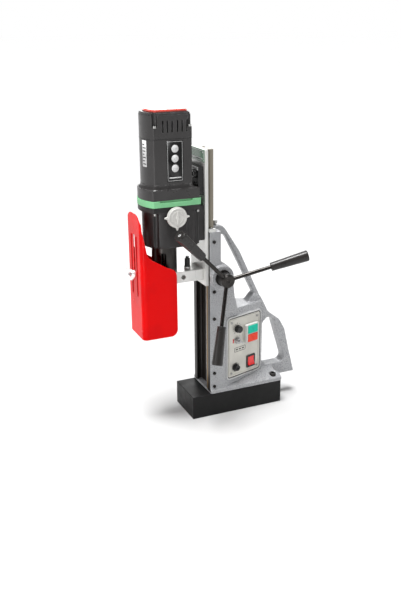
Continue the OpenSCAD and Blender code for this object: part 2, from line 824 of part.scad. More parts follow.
module motor_screws() {
    color([0.75, 0.76, 0.78]) {
        for (sx = [-1, 1], y = cap_screw_y) difference() {
            rod_z(cap_screw_z, cap_screw_z + 5, sx * cap_screw_x, y, 3.6);
            translate([sx * cap_screw_x, y, cap_screw_z + 2.5]) cylinder(r = 2, h = 4, $fn = 6);
        }
        // heads below the gearbox's flange
        for (sx = [-1, 1], p = [front_screw, rear_screw]) difference() {
            rod_z(flange_z - 5, flange_z, sx * p[0], p[1], 3.2);
            translate([sx * p[0], p[1], flange_z - 6]) cylinder(r = 1.8, h = 3.5, $fn = 6);
        }
    }
}

module motor_stator() {
    color([0.45, 0.46, 0.48]) {
        ring_z(612, 676, 0, -motor_y, 38, 25);
        ring_z(600, 612, 0, -motor_y, 35, 28);
        ring_z(676, 688, 0, -motor_y, 35, 28);
        // keys that locate the stack in the housing
        for (sx = [-1, 1]) translate([sx * 39 - 2, -motor_y - 5, 612]) cube([4, 10, 64]);
    }
}

module brush_holders() {
    color([0.75, 0.6, 0.25]) for (sx = [-1, 1])
        translate([sx * 27.5 - 13, -motor_y - 5, 694]) cube([26, 10, 7.8]);
}

module motor_bearings() {
    color([0.7, 0.72, 0.75]) {
        ring_z(band_z + 10, skirt_z + 6, 0, -motor_y, 14, 6);
        ring_z(735, 744, 0, -motor_y, 13, 6);
        ring_z(band_z, band_z + 8, 0, -lay_y, 11, 6);
        ring_z(case_z + 4, case_z + 12, 0, -lay_y, 11, 6);
    }
}

module spindle_bearings() {
    color([0.7, 0.72, 0.75]) {
        ring_z(case_z + 3, case_z + 17, 0, -spindle_y, 23.5, 17.5);
        ring_z(gear_plate_z, gear_plate_z + 10, 0, -spindle_y, 21, 10);
    }
}

// ---------- spindle ----------

lower_teeth = 36;
upper_teeth = 12;
nose_r = 30;
// ejector slot through the spindle's nose
slot_r = 5.5;
slot_low = 407;
slot_high = 430;
spindle_gear_z = 473;

module spindle() {
    color([0.1, 0.1, 0.11]) difference() {
        union() {
            rod_z(nose_z, case_z - 1.5, 0, -spindle_y, nose_r);
            rod_z(case_z - 1.5, case_z + 2.5, 0, -spindle_y, 19);
            rod_z(case_z + 2.5, spindle_gear_z - 1, 0, -spindle_y, 17.5 - fit);
            rod_z(spindle_gear_z - 1, gear_plate_z - 0.5, 0, -spindle_y, 14);
            rod_z(gear_plate_z - 0.5, gear_plate_z + 12, 0, -spindle_y, 10 - fit);
        }
        // taper socket
        translate([0, -spindle_y, nose_z - 0.1]) cylinder(r1 = 12, r2 = 9.6, h = 66);
        // ejector slot
        translate([0, -spindle_y, 0]) rotate([0, 0, -23]) {
            translate([-nose_r, -slot_r, slot_low])
                cube([2 * nose_r, 2 * slot_r, slot_high - slot_low]);
            for (z = [slot_low, slot_high]) rod_x(-nose_r, nose_r, 0, z, slot_r);
        }
    }
}

module spindle_gear() {
    color([0.6, 0.6, 0.62]) translate([0, -spindle_y, spindle_gear_z]) difference() {
        gear(1.5, lower_teeth, 25, 18, 90 + 180 / lower_teeth);
        translate([0, 0, -1]) cylinder(r = 14, h = 20);
    }
}

// tool arbor: a taper shank above, a collar for the coolant, a plain bore below
arbor_z = 300;

module tool_arbor() {
    color([0.3, 0.3, 0.32]) difference() {
        union() {
            translate([0, -spindle_y, nose_z]) cylinder(r1 = 12 - 0.02, r2 = 10.1, h = 50);
            rod_z(nose_z - 2, nose_z, 0, -spindle_y, 16);
            rod_z(352, nose_z - 2, 0, -spindle_y, 18 - fit);
            rod_z(arbor_z, 352, 0, -spindle_y, 20);
        }
        rod_z(arbor_z - 1, arbor_z + 32, 0, -spindle_y, tool_bore / 2);
        rod_z(arbor_z, nose_z + 10, 0, -spindle_y, 3.5);
        for (a = [0, 90]) translate([0, -spindle_y, 316]) rotate([0, 90, a]) cylinder(r = 4, h = 30);
    }
}

module arbor_screws() {
    color([0.15, 0.15, 0.16]) for (a = [0, 90]) translate([0, -spindle_y, 316]) rotate([0, 90, a])
        difference() {
            translate([0, 0, 10.5]) cylinder(r = 3.95, h = 9);
            translate([0, 0, 15]) cylinder(r = 2, h = 8, $fn = 6);
        }
}

// ---------- layshaft and motor shaft ----------

lay_gear_z = 516;

module layshaft() {
    color([0.62, 0.63, 0.65]) {
        rod_z(case_z + 4.5, case_z + 13, 0, -lay_y, 6 - fit);
        rod_z(case_z + 13, band_z - 2, 0, -lay_y, 7);
        rod_z(band_z - 2, band_z + 7, 0, -lay_y, 6 - fit);
        translate([0, -lay_y, spindle_gear_z - 2]) gear(1.5, upper_teeth, 25, 22, -90);
    }
}

module layshaft_gear() {
    color([0.55, 0.55, 0.57]) translate([0, -lay_y, lay_gear_z]) difference() {
        gear(1, 36, 25, 11, -90 + 5);
        translate([0, 0, -1]) cylinder(r = 7, h = 13);
    }
}

module motor_shaft() {
    color([0.7, 0.71, 0.73]) {
        rod_z(lay_gear_z + 14, 743.5, 0, -motor_y, 6 - fit);
        translate([0, -motor_y, lay_gear_z - 2]) gear(1, 12, 25, 16, 90);
        // commutator
        ring_z(691, 706, 0, -motor_y, 14, 6 - fit);
    }
}

module motor_armature() {
    color([0.5, 0.35, 0.25]) {
        ring_z(614, 674, 0, -motor_y, 24, 6);
        ring_z(604, 614, 0, -motor_y, 20, 6);
        ring_z(674, 686, 0, -motor_y, 20, 6);
    }
}

module cooling_fan() {
    color([0.25, 0.25, 0.27]) translate([0, -motor_y, 0]) {
        ring_z(582, 585, 0, 0, 34, 6);
        ring_z(585, 596, 0, 0, 12, 6);
        for (a = [0:30:330]) rotate([0, 0, a]) translate([11, -0.8, 585]) cube([22.5, 1.6, 10]);
    }
}

// ---------- gear knob ----------

knob_y = -160;
knob_z = 526;
knob_face = 62;

module gear_knob() {
    color([0.78, 0.79, 0.8]) {
        rod_x(gearbox_half - 8, knob_face - 8, knob_y, knob_z, 5);
        rod_x(knob_face - 9, knob_face - 2, knob_y, knob_z, 24);
        rod_x(knob_face - 2, knob_face, knob_y, knob_z, 22);
        // three pointers on the rim
        for (a = [0, 180, 270]) translate([knob_face - 8, knob_y, knob_z]) rotate([a, 0, 0])
            rotate([90, 0, 90]) linear_extrude(5) polygon([[22, -4], [30.5, -1.2], [30.5, 1.2], [22, 4]]);
        // raised bar across the face
        translate([knob_face, knob_y - 2.5, knob_z - 15]) cube([2, 5, 30]);
    }
}

// ---------- support bracket, coolant fitting and guard mount ----------

bracket_z = 358;
bracket_top = 388;
bracket_half = 30;
bracket_front = -200;
stud_z = 388;
fitting = [10, -117];
// hole across the bracket, as [y, z]
cross_hole = [-135, 371];
guard_front = -247;
guard_t = 2;

module support_bracket() {
    color([0.8, 0.8, 0.79]) difference() {
        plan(bracket_z, bracket_top - 2.5) intersection() {
            union() {
                translate([0, -spindle_y]) circle(r = bracket_half, $fn = 64);
                translate([-bracket_half, -spindle_y]) square([2 * bracket_half, plate_front + spindle_y]);
            }
            translate([-50, bracket_front]) square([100, 140]);
        }
        rod_z(bracket_z - 1, bracket_top + 1, 0, -spindle_y, 22.5);
        rod_x(-40, 40, cross_hole[0], cross_hole[1], 5.5);
        rod_z(374, bracket_top + 1, fitting[0], fitting[1], 4);
    }
}

module bracket_bush() {
    color([0.7, 0.55, 0.3]) difference() {
        rod_z(bracket_z + 1, bracket_top - 3, 0, -spindle_y, 22.5);
        rod_z(bracket_z, bracket_top, 0, -spindle_y, 18);
    }
}

module coolant_fitting() {
    color([0.2, 0.2, 0.22]) {
        rod_z(376, bracket_top - 2.5, fitting[0], fitting[1], 3.9);
        translate([fitting[0], fitting[1], bracket_top - 2.5]) cylinder(r = 8, h = 6, $fn = 6);
        rod_z(bracket_top + 3.5, bracket_top + 24, fitting[0], fitting[1], 6.5);
        rod_z(bracket_top + 24, bracket_top + 29, fitting[0], fitting[1], 4);
    }
}

module guard_mount() {
    color([0.55, 0.56, 0.58]) {
        translate([-12, bracket_front - 10, bracket_z + 2]) cube([24, 10, bracket_top - bracket_z - 4]);
        // the upper half is thinner, clear of the spindle's nose
        translate([-12, bracket_front - 10, bracket_z + 2]) cube([24, 7, stud_z - bracket_z + 8]);
        rod_y(guard_front + guard_t + 0.6, bracket_front - 10, 0, stud_z, 8);
        rod_y(guard_front - 16, guard_front + guard_t + 0.6, 0, stud_z, 3.9);
    }
}

// ---------- chip guard ----------

guard_rear = -160;
guard_z = 232;
guard_bend = 13;
slot_half = 4.4;

// a flat front between two bends
module guard_plan(inset) {
    half = guard_half - inset;
    front = guard_front + inset;
    bend = guard_bend - inset;
    translate([bend - half, front]) square([2 * (half - bend), bend]);
    translate([-half, front + bend]) square([2 * half, 120]);
    for (sx = [-1, 1]) translate([sx * (half - bend), front + bend]) circle(r = bend);
}

module chip_guard() {
    color([0.9, 0.08, 0.05]) difference() {
        intersection() {
            plan(guard_z, guard_z + 310) difference() {
                guard_plan(0);
                guard_plan(guard_t);
                translate([-60, guard_rear]) square([120, 60]);
            }
            // side outline: low at the rear, rising steeply to the front
            side(-60, 60) polygon(rounded([[-260, guard_z, 0], [guard_rear, guard_z, 17],
                [guard_rear, 396, 20], [-185, 407, 60], [-231, 435, 30], [-243, 500, 0],
                [-243, 545, 0], [-260, 545, 0]]));
            // front outline, with a rounded top
            translate([0, -140, 0]) rotate([90, 0, 0]) linear_extrude(120) polygon(rounded([
                [-60, guard_z, 12], [60, guard_z, 12], [60, 446, 0], [50, 472, 40], [44, 533, 34],
                [-44, 533, 34], [-50, 472, 40], [-60, 446, 0]]));
        }
        // slot for the stud
        translate([-slot_half, -260, stud_z]) cube([2 * slot_half, 40, guard_travel + 2]);
        rod_y(-260, -220, 0, stud_z, slot_half);
        rod_y(-260, -220, 0, stud_z + guard_travel + 2, slot_half);
    }
}

// a wing nut whose wings rise outward past its hub
module wing_nut() {
    nut_y = guard_front - 0.3;
    wing_turn = 25;
    color([0.85, 0.86, 0.87]) difference() {
        union() {
            rod_y(nut_y - 9, nut_y, 0, stud_z, 8);
            translate([0, nut_y, stud_z]) rotate([0, wing_turn, 0]) for (m = [0, 1]) mirror([m, 0, 0])
                translate([0, 0, -2]) linear_extrude(4) polygon(rounded([[5, -1, 0], [10, -1.5, 3],
                    [15, -5, 6], [22, -12, 4], [20, -20.5, 4], [13, -18, 6], [5, -8.5, 0]]));
        }
        rod_y(nut_y - 20, nut_y + 1, 0, stud_z, 4);
    }
}

// ---------- capstan ----------

hub_end = 92;
hub_r = 17;
arm_x = 82;
arm_r = 4.8;
grip_start = 110;

module pinion_shaft() {
    color([0.6, 0.61, 0.63]) {
        rod_x(-65, hub_end - 4, shaft_y, capstan_z, 10 - fit);
        translate([-9, shaft_y, capstan_z]) rotate([90, 0, 90])
            gear(rack_module, pinion_teeth, 20, 18, 180);
    }
}

module at_arm(i) {
    translate([arm_x, shaft_y, capstan_z]) rotate([arm_angle + 120 * i, 0, 0])
        rotate([0, 0, -arm_rake]) children();
}

module capstan_hub() {
    color([0.1, 0.1, 0.11]) difference() {
        union() {
            rod_x(boss_x + 2.5, hub_end - 2, shaft_y, capstan_z, hub_r);
            rod_x(hub_end - 2, hub_end, shaft_y, capstan_z, hub_r - 2);
        }
        rod_x(60, hub_end - 4, shaft_y, capstan_z, 10 - fit);
        rod_x(hub_end - 5, hub_end + 1, shaft_y, capstan_z, 3.2);
        for (i = [0:2]) at_arm(i) rotate([-90, 0, 0]) translate([0, 0, 12.5]) cylinder(r = arm_r, h = 30);
    }
}

module capstan_arms() {
    color([0.65, 0.66, 0.68]) for (i = [0:2]) at_arm(i) rotate([-90, 0, 0])
        translate([0, 0, 12.5]) cylinder(r = arm_r, h = arm_l - 32);
}

module capstan_grips() {
    color([0.14, 0.14, 0.14]) for (i = [0:2]) at_arm(i) rotate([-90, 0, 0]) rotate_extrude($fn = 48)
        polygon([[arm_r, grip_start], [9.8, grip_start], [10.5, grip_start + 1],
            [13.6, arm_l - 3], [13.2, arm_l - 1], [12.2, arm_l], [0, arm_l],
            [0, arm_l - 19.5], [arm_r, arm_l - 19.5]]);
}

magnet_core();
magnet_coil();
magnet_potting();
stand_casting();
base_bolts();
gib_strip();
gib_screws();
column_caps();
cap_screws();
pinion_bushes();
control_panel();
panel_screws();
circuit_board();
switch_block();
rocker_bezel();
fuse_holder();
mains_gland();
slide_plate();
slide_dovetail();
feed_rack();
slide_bolts();
name_plate();
junction_box();
motor_gland();
gearbox_case();
gear_plate();
band_gasket();
motor_housing();
motor_cap();
cap_insert();
motor_screws();
motor_stator();
brush_holders();
motor_bearings();
spindle_bearings();
support_bracket();
bracket_bush();
coolant_fitting();
guard_mount();
spindle();
spindle_gear();
tool_arbor();
arbor_screws();
layshaft();
layshaft_gear();
motor_shaft();
motor_armature();
cooling_fan();
gear_knob();
chip_guard();
wing_nut();
pinion_shaft();
capstan_hub();
capstan_arms();
capstan_grips();
start_button();
stop_button();
magnet_rocker();
speed_knob();
mode_selector();
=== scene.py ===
"""The looks of a magnetic drill press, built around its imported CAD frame."""
import json
from math import cos, pi, radians, sin, sqrt

import bmesh
import bpy
import numpy as np
from mathutils import Matrix, Vector


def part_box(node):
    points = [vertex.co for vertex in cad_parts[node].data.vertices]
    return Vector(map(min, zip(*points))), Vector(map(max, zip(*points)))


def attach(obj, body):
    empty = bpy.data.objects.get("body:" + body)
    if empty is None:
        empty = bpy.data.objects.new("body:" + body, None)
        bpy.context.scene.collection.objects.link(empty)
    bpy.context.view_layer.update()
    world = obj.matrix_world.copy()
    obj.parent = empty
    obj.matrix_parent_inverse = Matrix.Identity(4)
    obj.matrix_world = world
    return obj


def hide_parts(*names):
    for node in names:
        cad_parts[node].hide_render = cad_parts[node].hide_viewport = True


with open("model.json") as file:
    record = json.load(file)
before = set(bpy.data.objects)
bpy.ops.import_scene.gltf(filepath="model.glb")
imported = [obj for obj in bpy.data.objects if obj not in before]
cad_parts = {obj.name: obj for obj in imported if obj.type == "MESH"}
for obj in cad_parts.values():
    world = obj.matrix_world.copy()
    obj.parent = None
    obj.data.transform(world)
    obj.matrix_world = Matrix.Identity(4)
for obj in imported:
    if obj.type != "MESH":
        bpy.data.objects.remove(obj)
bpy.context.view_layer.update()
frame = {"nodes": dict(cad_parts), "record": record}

MM = 0.001
NODES = frame["nodes"]
SCENE = bpy.context.scene

# places on the stand, in metres
FRONT_FACE = (-0.0765, -0.0752)
CHANNEL_Y = (-0.08, -0.0585)
CHANNEL_HALF = 0.0425
COLUMN_Z = (0.065, 0.6)


# ---------- camera ----------

CAMERA_PLACE = Vector((1.66968, -0.80143, 0.94125))
CAMERA_AZIMUTH = radians(66.597)
CAMERA_PITCH = radians(19.575)
CAMERA_ROLL = radians(-0.48)
CAMERA_LENS = 46.55


def make_camera():
    """Places the camera where the photo was taken from."""
    data = bpy.data.cameras.new("camera")
    data.lens = CAMERA_LENS
    data.clip_end = 200
    obj = bpy.data.objects.new("camera", data)
    SCENE.collection.objects.link(obj)
    az, tilt = CAMERA_AZIMUTH, CAMERA_PITCH
    ahead = Vector((-sin(az) * cos(tilt), cos(az) * cos(tilt), -sin(tilt)))
    level = Vector((cos(az), sin(az), 0))
    upright = level.cross(ahead)
    right = level * cos(CAMERA_ROLL) + upright * sin(CAMERA_ROLL)
    up = upright * cos(CAMERA_ROLL) - level * sin(CAMERA_ROLL)
    turn = Matrix((right, up, -ahead)).transposed().to_4x4()
    obj.matrix_world = Matrix.Translation(CAMERA_PLACE) @ turn
    SCENE.camera = obj


# ---------- floor and light ----------

def make_floor():
    """A plain pale floor."""
    mesh = bpy.data.meshes.new("floor")
    half = 60
    corners = [(-half, -half, 0), (half, -half, 0), (half, half, 0), (-half, half, 0)]
    mesh.from_pydata(corners, [], [(0, 1, 2, 3)])
    floor = bpy.data.objects.new("floor", mesh)
    SCENE.collection.objects.link(floor)
    material = bpy.data.materials.new("floor")
    material.use_nodes = True
    shader = material.node_tree.nodes["Principled BSDF"]
    shader.inputs["Base Color"].default_value = (0.53, 0.53, 0.53, 1)
    shader.inputs["Roughness"].default_value = 0.8
    shader.inputs["Specular IOR Level"].default_value = 0.1
    mesh.materials.append(material)


def aim(lamp, place, target):
    """Puts a lamp in place and turns it to its target."""
    lamp.location = place
    lamp.rotation_mode = "QUATERNION"
    lamp.rotation_quaternion = (Vector(target) - Vector(place)).to_track_quat("-Z", "Y")
    SCENE.collection.objects.link(lamp)


def soft_box(name, place, target, width, height, power):
    """A rectangular lamp that lights the object without showing in the picture."""
    data = bpy.data.lights.new(name, "AREA")
    data.shape = "RECTANGLE"
    data.size = width
    data.size_y = height
    data.energy = power
    lamp = bpy.data.objects.new(name, data)
    lamp.visible_camera = False
    aim(lamp, place, target)


def sky_light(power, spread):
    """A wide sun from above: it lights the whole floor evenly, with soft shadows."""
    data = bpy.data.lights.new("sky", "SUN")
    data.energy = power
    data.angle = radians(spread)
    aim(bpy.data.objects.new("sky", data), (0.1, -0.5, 3), (0, 0, 0))


def make_light():
    """A white backdrop, a wide sun and four soft boxes."""
    world = bpy.data.worlds.new("studio")
    world.use_nodes = True
    world.node_tree.nodes["Background"].inputs["Color"].default_value = (1, 1, 1, 1)
    world.node_tree.nodes["Background"].inputs["Strength"].default_value = 0.20
    backdrop = world.node_tree.nodes.new("ShaderNodeBackground")
    backdrop.inputs["Color"].default_value = (1, 1, 1, 1)
    seen = world.node_tree.nodes.new("ShaderNodeLightPath")
    mix = world.node_tree.nodes.new("ShaderNodeMixShader")
    links = world.node_tree.links
    links.new(seen.outputs["Is Camera Ray"], mix.inputs[0])
    links.new(world.node_tree.nodes["Background"].outputs[0], mix.inputs[1])
    links.new(backdrop.outputs[0], mix.inputs[2])
    links.new(mix.outputs[0], world.node_tree.nodes["World Output"].inputs["Surface"])
    SCENE.world = world
    middle = (0, -0.05, 0.38)
    sky_light(5.6, 26)
    soft_box("left", (0.5, -1.9, 0.9), middle, 0.25, 1.7, 6)
    soft_box("right", (1.2, 1.8, 1.3), middle, 0.3, 1.7, 9)
    soft_box("low", (0.95, -1.2, 0.22), (0, -0.15, 0.5), 0.16, 0.5, 3)
    soft_box("behind", (-1.6, 0.5, 1.3), middle, 0.9, 1.4, 12)
    SCENE.view_settings.view_transform = "Standard"


# ---------- materials ----------

class Surface:
    """A Principled material that is built one layer at a time in object space."""

    def __init__(self, name, colour, rough, metal=0.0, coat=0.0, coat_rough=0.1, specular=0.5):
        self.material = bpy.data.materials.new(name)
        self.material.use_nodes = True
        self.tree = self.material.node_tree
        self.shader = self.tree.nodes["Principled BSDF"]
        self.shader.inputs["Metallic"].default_value = metal
        self.shader.inputs["Coat Weight"].default_value = coat
        self.shader.inputs["Coat Roughness"].default_value = coat_rough
        self.shader.inputs["Specular IOR Level"].default_value = specular
        self.set("Base Color", (*colour, 1))
        self.set("Roughness", rough)
        self.place = self.add("ShaderNodeTexCoord").outputs["Object"]
        self.normal = None

    def add(self, kind, values=None, **settings):
        """Adds a node, with linked or plain inputs and its settings."""
        node = self.tree.nodes.new(kind)
        for key, value in settings.items():
            setattr(node, key, value)
        for key, value in (values or {}).items():
            if isinstance(value, bpy.types.NodeSocket):
                self.tree.links.new(value, node.inputs[key])
            else:
                node.inputs[key].default_value = value
        return node

    def set(self, socket, value):
        """Links or writes one of the shader's inputs."""
        if isinstance(value, bpy.types.NodeSocket):
            self.tree.links.new(value, self.shader.inputs[socket])
        else:
            self.shader.inputs[socket].default_value = value

    def get(self, socket):
        """What one of the shader's inputs holds now."""
        link = self.shader.inputs[socket].links
        return link[0].from_socket if link else self.shader.inputs[socket].default_value

    def noise(self, scale, detail, stretch=(1, 1, 1)):
        """A noise pattern, from about 0 to 1."""
        place = self.add("ShaderNodeMapping", {"Vector": self.place, "Scale": stretch}).outputs[0]
        texture = self.add("ShaderNodeTexNoise", {"Vector": place, "Scale": scale, "Detail": detail})
        return texture.outputs["Fac"]

    def ramp(self, value, low, high, out_low=0.0, out_high=1.0):
        """Maps a range of a value onto another range."""
        node = self.add("ShaderNodeMapRange", {"Value": value, "From Min": low, "From Max": high,
                                               "To Min": out_low, "To Max": out_high})
        return node.outputs[0]

    def tint(self, mask, colour):
        """Mixes a colour in by a mask."""
        node = self.add("ShaderNodeMix", data_type="RGBA")
        self.join(node, self.get("Base Color"), 6)
        self.join(node, (*colour, 1), 7)
        self.join(node, mask, 0)
        self.set("Base Color", node.outputs[2])
        return self

    def join(self, node, value, index):
        """Links or writes one of a node's inputs."""
        if isinstance(value, bpy.types.NodeSocket):
            self.tree.links.new(value, node.inputs[index])
        else:
            node.inputs[index].default_value = value

    def mottle(self, scale, colour, low=0.4, high=0.65):
        """Patches of another colour, where the noise passes from low to high."""
        return self.tint(self.ramp(self.noise(scale, 4.0), low, high), colour)

    def rough_between(self, scale, low, high, stretch=(1, 1, 1)):
        """Lets the roughness drift between two values."""
        self.set("Roughness", self.ramp(self.noise(scale, 4.0, stretch), 0.3, 0.7, low, high))
        return self

    def bump(self, scale, height, detail=2.0, stretch=(1, 1, 1)):
        """Adds a layer of fine relief."""
        values = {"Height": self.noise(scale, detail, stretch), "Distance": height, "Strength": 1.0}
        if self.normal is not None:
            values["Normal"] = self.normal
        self.normal = self.add("ShaderNodeBump", values).outputs[0]
        self.set("Normal", self.normal)
        return self

    def edge_wear_and_highlight(self, colour, radius, amount=0.6):
        """Shows colour along edges, where the rounded normal leaves the true one: worn edges, and on some
        finishes a painted edge highlight.
        """
        soft = self.add("ShaderNodeBevel", {"Radius": radius}, samples=4)
        true = self.add("ShaderNodeNewGeometry")
        dot = self.add("ShaderNodeVectorMath", operation="DOT_PRODUCT")
        self.tree.links.new(soft.outputs[0], dot.inputs[0])
        self.tree.links.new(true.outputs["Normal"], dot.inputs[1])
        edge = self.ramp(dot.outputs["Value"], 0.98, 0.86)
        patchy = self.ramp(self.noise(90, 4.0), 0.42, 0.6, 0, amount)
        mask = self.add("ShaderNodeMath", operation="MULTIPLY")
        self.tree.links.new(edge, mask.inputs[0])
        self.tree.links.new(patchy, mask.inputs[1])
        return self.tint(mask.outputs[0], colour)

    def within(self, axis, low, high, fade=0.0008):
        """A mask that is 1 where the object-space coordinate lies between low and high."""
        parts = self.add("ShaderNodeSeparateXYZ", {"Vector": self.place})
        value = parts.outputs[axis]
        up = self.ramp(value, low - fade, low + fade)
        down = self.ramp(value, high - fade, high + fade, 1.0, 0.0)
        return self.times(up, down)

    def times(self, one, two):
        """The product of two masks."""
        return self.add("ShaderNodeMath", {0: one, 1: two}, operation="MULTIPLY").outputs[0]

    def rough_where(self, mask, value):
        """Gives the masked area its own roughness."""
        node = self.add("ShaderNodeMix", data_type="FLOAT")
        self.join(node, self.get("Roughness"), 2)
        self.join(node, value, 3)
        self.join(node, mask, 0)
        self.set("Roughness", node.outputs[0])
        return self


def cast_silver():
    """Hammered silver paint, with the machined column face and the slide channel tinted near black."""
    # the near-white edge colour is partly worn paint and partly a painted edge highlight
    paint = (Surface("cast_silver", (0.40, 0.405, 0.415), 0.34, metal=0.25, coat=0.2, coat_rough=0.2)
             .mottle(420, (0.19, 0.195, 0.21), 0.48, 0.63).mottle(12, (0.32, 0.325, 0.34), 0.5, 0.75)
             .rough_between(160, 0.28, 0.5).bump(300, 0.0005, 3.0).bump(28, 0.0009)
             .edge_wear_and_highlight((0.92, 0.92, 0.92), 0.004))
    front = paint.within(1, *FRONT_FACE, 0.0003)
    channel = paint.times(paint.within(1, *CHANNEL_Y, 0.0003),
                          paint.within(0, -CHANNEL_HALF, CHANNEL_HALF, 0.0003))
    column = paint.within(2, *COLUMN_Z)
    for area in (front, channel):
        mask = paint.times(area, column)
        paint.tint(mask, (0.014, 0.011, 0.009)).rough_where(mask, 0.5)
    return paint.material


def black_steel():
    """The magnet's black paint."""
    return (Surface("black_steel", (0.007, 0.007, 0.007), 0.45, specular=0.2)
            .mottle(14, (0.011, 0.011, 0.011)).rough_between(40, 0.38, 0.55).bump(500, 0.0001)
            .edge_wear_and_highlight((0.10, 0.10, 0.11), 0.0015).material)


def ground_steel(name, colour, rough, metal):
    """Steel with grinding lines along Z."""
    stretch = (60, 60, 1.2)
    return (Surface(name, colour, rough, metal=metal).mottle(6, tuple(c * 0.86 for c in colour))
            .rough_between(18, rough - 0.06, rough + 0.1, stretch).bump(18, 0.00006, 3, stretch)
            .edge_wear_and_highlight((0.85, 0.85, 0.83), 0.001).material)


def machined_steel(name, colour, rough):
    """Bright turned or milled steel."""
    return (Surface(name, colour, rough, metal=1.0).mottle(40, tuple(c * 0.8 for c in colour))
            .rough_between(60, rough - 0.06, rough + 0.1).bump(700, 0.00004).material)


def motor_plastic():
    """The motor's dark glass-filled plastic."""
    # the pale edge colour is partly rubbed wear and partly a painted edge highlight
    return (Surface("motor_plastic", (0.033, 0.031, 0.031), 0.3, specular=0.5)
            .mottle(12, (0.024, 0.022, 0.022)).rough_between(50, 0.26, 0.38).bump(900, 0.00012)
            .edge_wear_and_highlight((0.22, 0.22, 0.22), 0.0026, amount=0.45).material)


def gearbox_black():
    """Black paint on the gearbox casting."""
    return (Surface("gearbox_black", (0.011, 0.010, 0.010), 0.4, specular=0.4)
            .mottle(14, (0.024, 0.022, 0.022)).rough_between(50, 0.34, 0.5).bump(600, 0.00018)
            .edge_wear_and_highlight((0.10, 0.10, 0.10), 0.0015).material)


def guard_red():
    """Glossy powder coat over bent sheet, with pink edges that are painted highlights."""
    return (Surface("guard_red", (0.76, 0.0005, 0.001), 0.26, coat=0.02, coat_rough=0.1, specular=0.08)
            .mottle(9, (0.60, 0.0005, 0.002), 0.45, 0.7).rough_between(25, 0.16, 0.28)
            .bump(900, 0.00004).bump(14, 0.0009).edge_wear_and_highlight((0.95, 0.28, 0.26), 0.0012, amount=0.8).material)


def plain(name, colour, rough, metal=0.0, coat=0.0, grain=600, height=0.00005, specular=0.5):
    """An even finish with slight patches, a drifting roughness and a fine grain."""
    return (Surface(name, colour, rough, metal=metal, coat=coat, specular=specular)
            .mottle(20, tuple(c * 0.85 for c in colour)).rough_between(60, rough * 0.85, rough * 1.2)
            .bump(grain, height).material)


def painted_glow(name, colour, light, power):
    """A translucent red lens; its emission is a painted glow for the lens's bright look."""
    surface = Surface(name, colour, 0.18, coat=0.4).mottle(90, tuple(c * 0.75 for c in colour))
    surface.shader.inputs["Emission Color"].default_value = (*light, 1)
    surface.shader.inputs["Emission Strength"].default_value = power
    return surface.bump(500, 0.00004).material


def make_finishes():
    """One material for each of the record's slots."""
    dark = machined_steel("black_oxide", (0.05, 0.047, 0.045), 0.32)
    return {
        "black_steel": black_steel(),
        "copper_coil": plain("copper_wire", (0.5, 0.2, 0.08), 0.35, metal=1.0),
        "potting": plain("potting_resin", (0.02, 0.02, 0.022), 0.5), "cast_paint": cast_silver(),
        "dark_fasteners": dark, "bright_fasteners": machined_steel("zinc_plate", (0.42, 0.42, 0.41), 0.3),
        "bronze": plain("bearing_bronze", (0.20, 0.13, 0.06), 0.35, metal=0.8),
        "panel_sheet": plain("panel_lacquer", (0.62, 0.605, 0.55), 0.33, metal=0.25, coat=0.2),
        "board": plain("board_laminate", (0.02, 0.12, 0.05), 0.4),
        "white_plastic": plain("white_moulding", (0.66, 0.66, 0.63), 0.35),
        "black_plastic": plain("black_moulding", (0.012, 0.012, 0.012), 0.3, specular=0.4),
        "grey_plastic": plain("silver_knob", (0.45, 0.45, 0.45), 0.3, metal=0.7),
        "ground_steel": ground_steel("ground_steel", (0.74, 0.74, 0.72), 0.32, 0.5),
        "slide_steel": ground_steel("oiled_steel", (0.26, 0.235, 0.19), 0.34, 0.7),
        "machined_steel": machined_steel("machined_steel", (0.5, 0.5, 0.51), 0.26), "oxide_steel": dark,
        "green_sheet": plain("green_lacquer", (0.09, 0.21, 0.12), 0.25, coat=0.4),
        "gearbox_paint": gearbox_black(),
        "cast_aluminium": plain("raw_cast", (0.5, 0.5, 0.5), 0.4, metal=0.9),
        "green_rubber": plain("green_band", (0.22, 0.60, 0.29), 0.5),
        "motor_plastic": motor_plastic(),
        "red_insert": plain("red_moulding", (0.62, 0.05, 0.03), 0.3, coat=0.3),
        "laminations": plain("lamination", (0.2, 0.2, 0.21), 0.45, metal=0.8),
        "fan_plastic": plain("fan_moulding", (0.03, 0.03, 0.032), 0.4),
        "fitting_black": plain("fitting_black", (0.02, 0.02, 0.02), 0.35, metal=0.5),
        "knob_alloy": plain("blasted_alloy", (0.72, 0.71, 0.68), 0.5, metal=0.2, grain=900, height=0.0001),
        "guard_red": guard_red(),
        "grip_rubber": plain("grip_moulding", (0.022, 0.020, 0.019), 0.28, specular=0.35),
        "start_green": plain("start_green", (0.0, 0.60, 0.42), 0.4, specular=0.25),
        "stop_red": plain("stop_red", (0.95, 0.07, 0.03), 0.4, specular=0.25),
        # the rocker's emission is a painted glow, not a lit lamp
        "rocker_red": painted_glow("rocker_red", (0.70, 0.004, 0.006), (1.0, 0.02, 0.02), 0.2),
    }


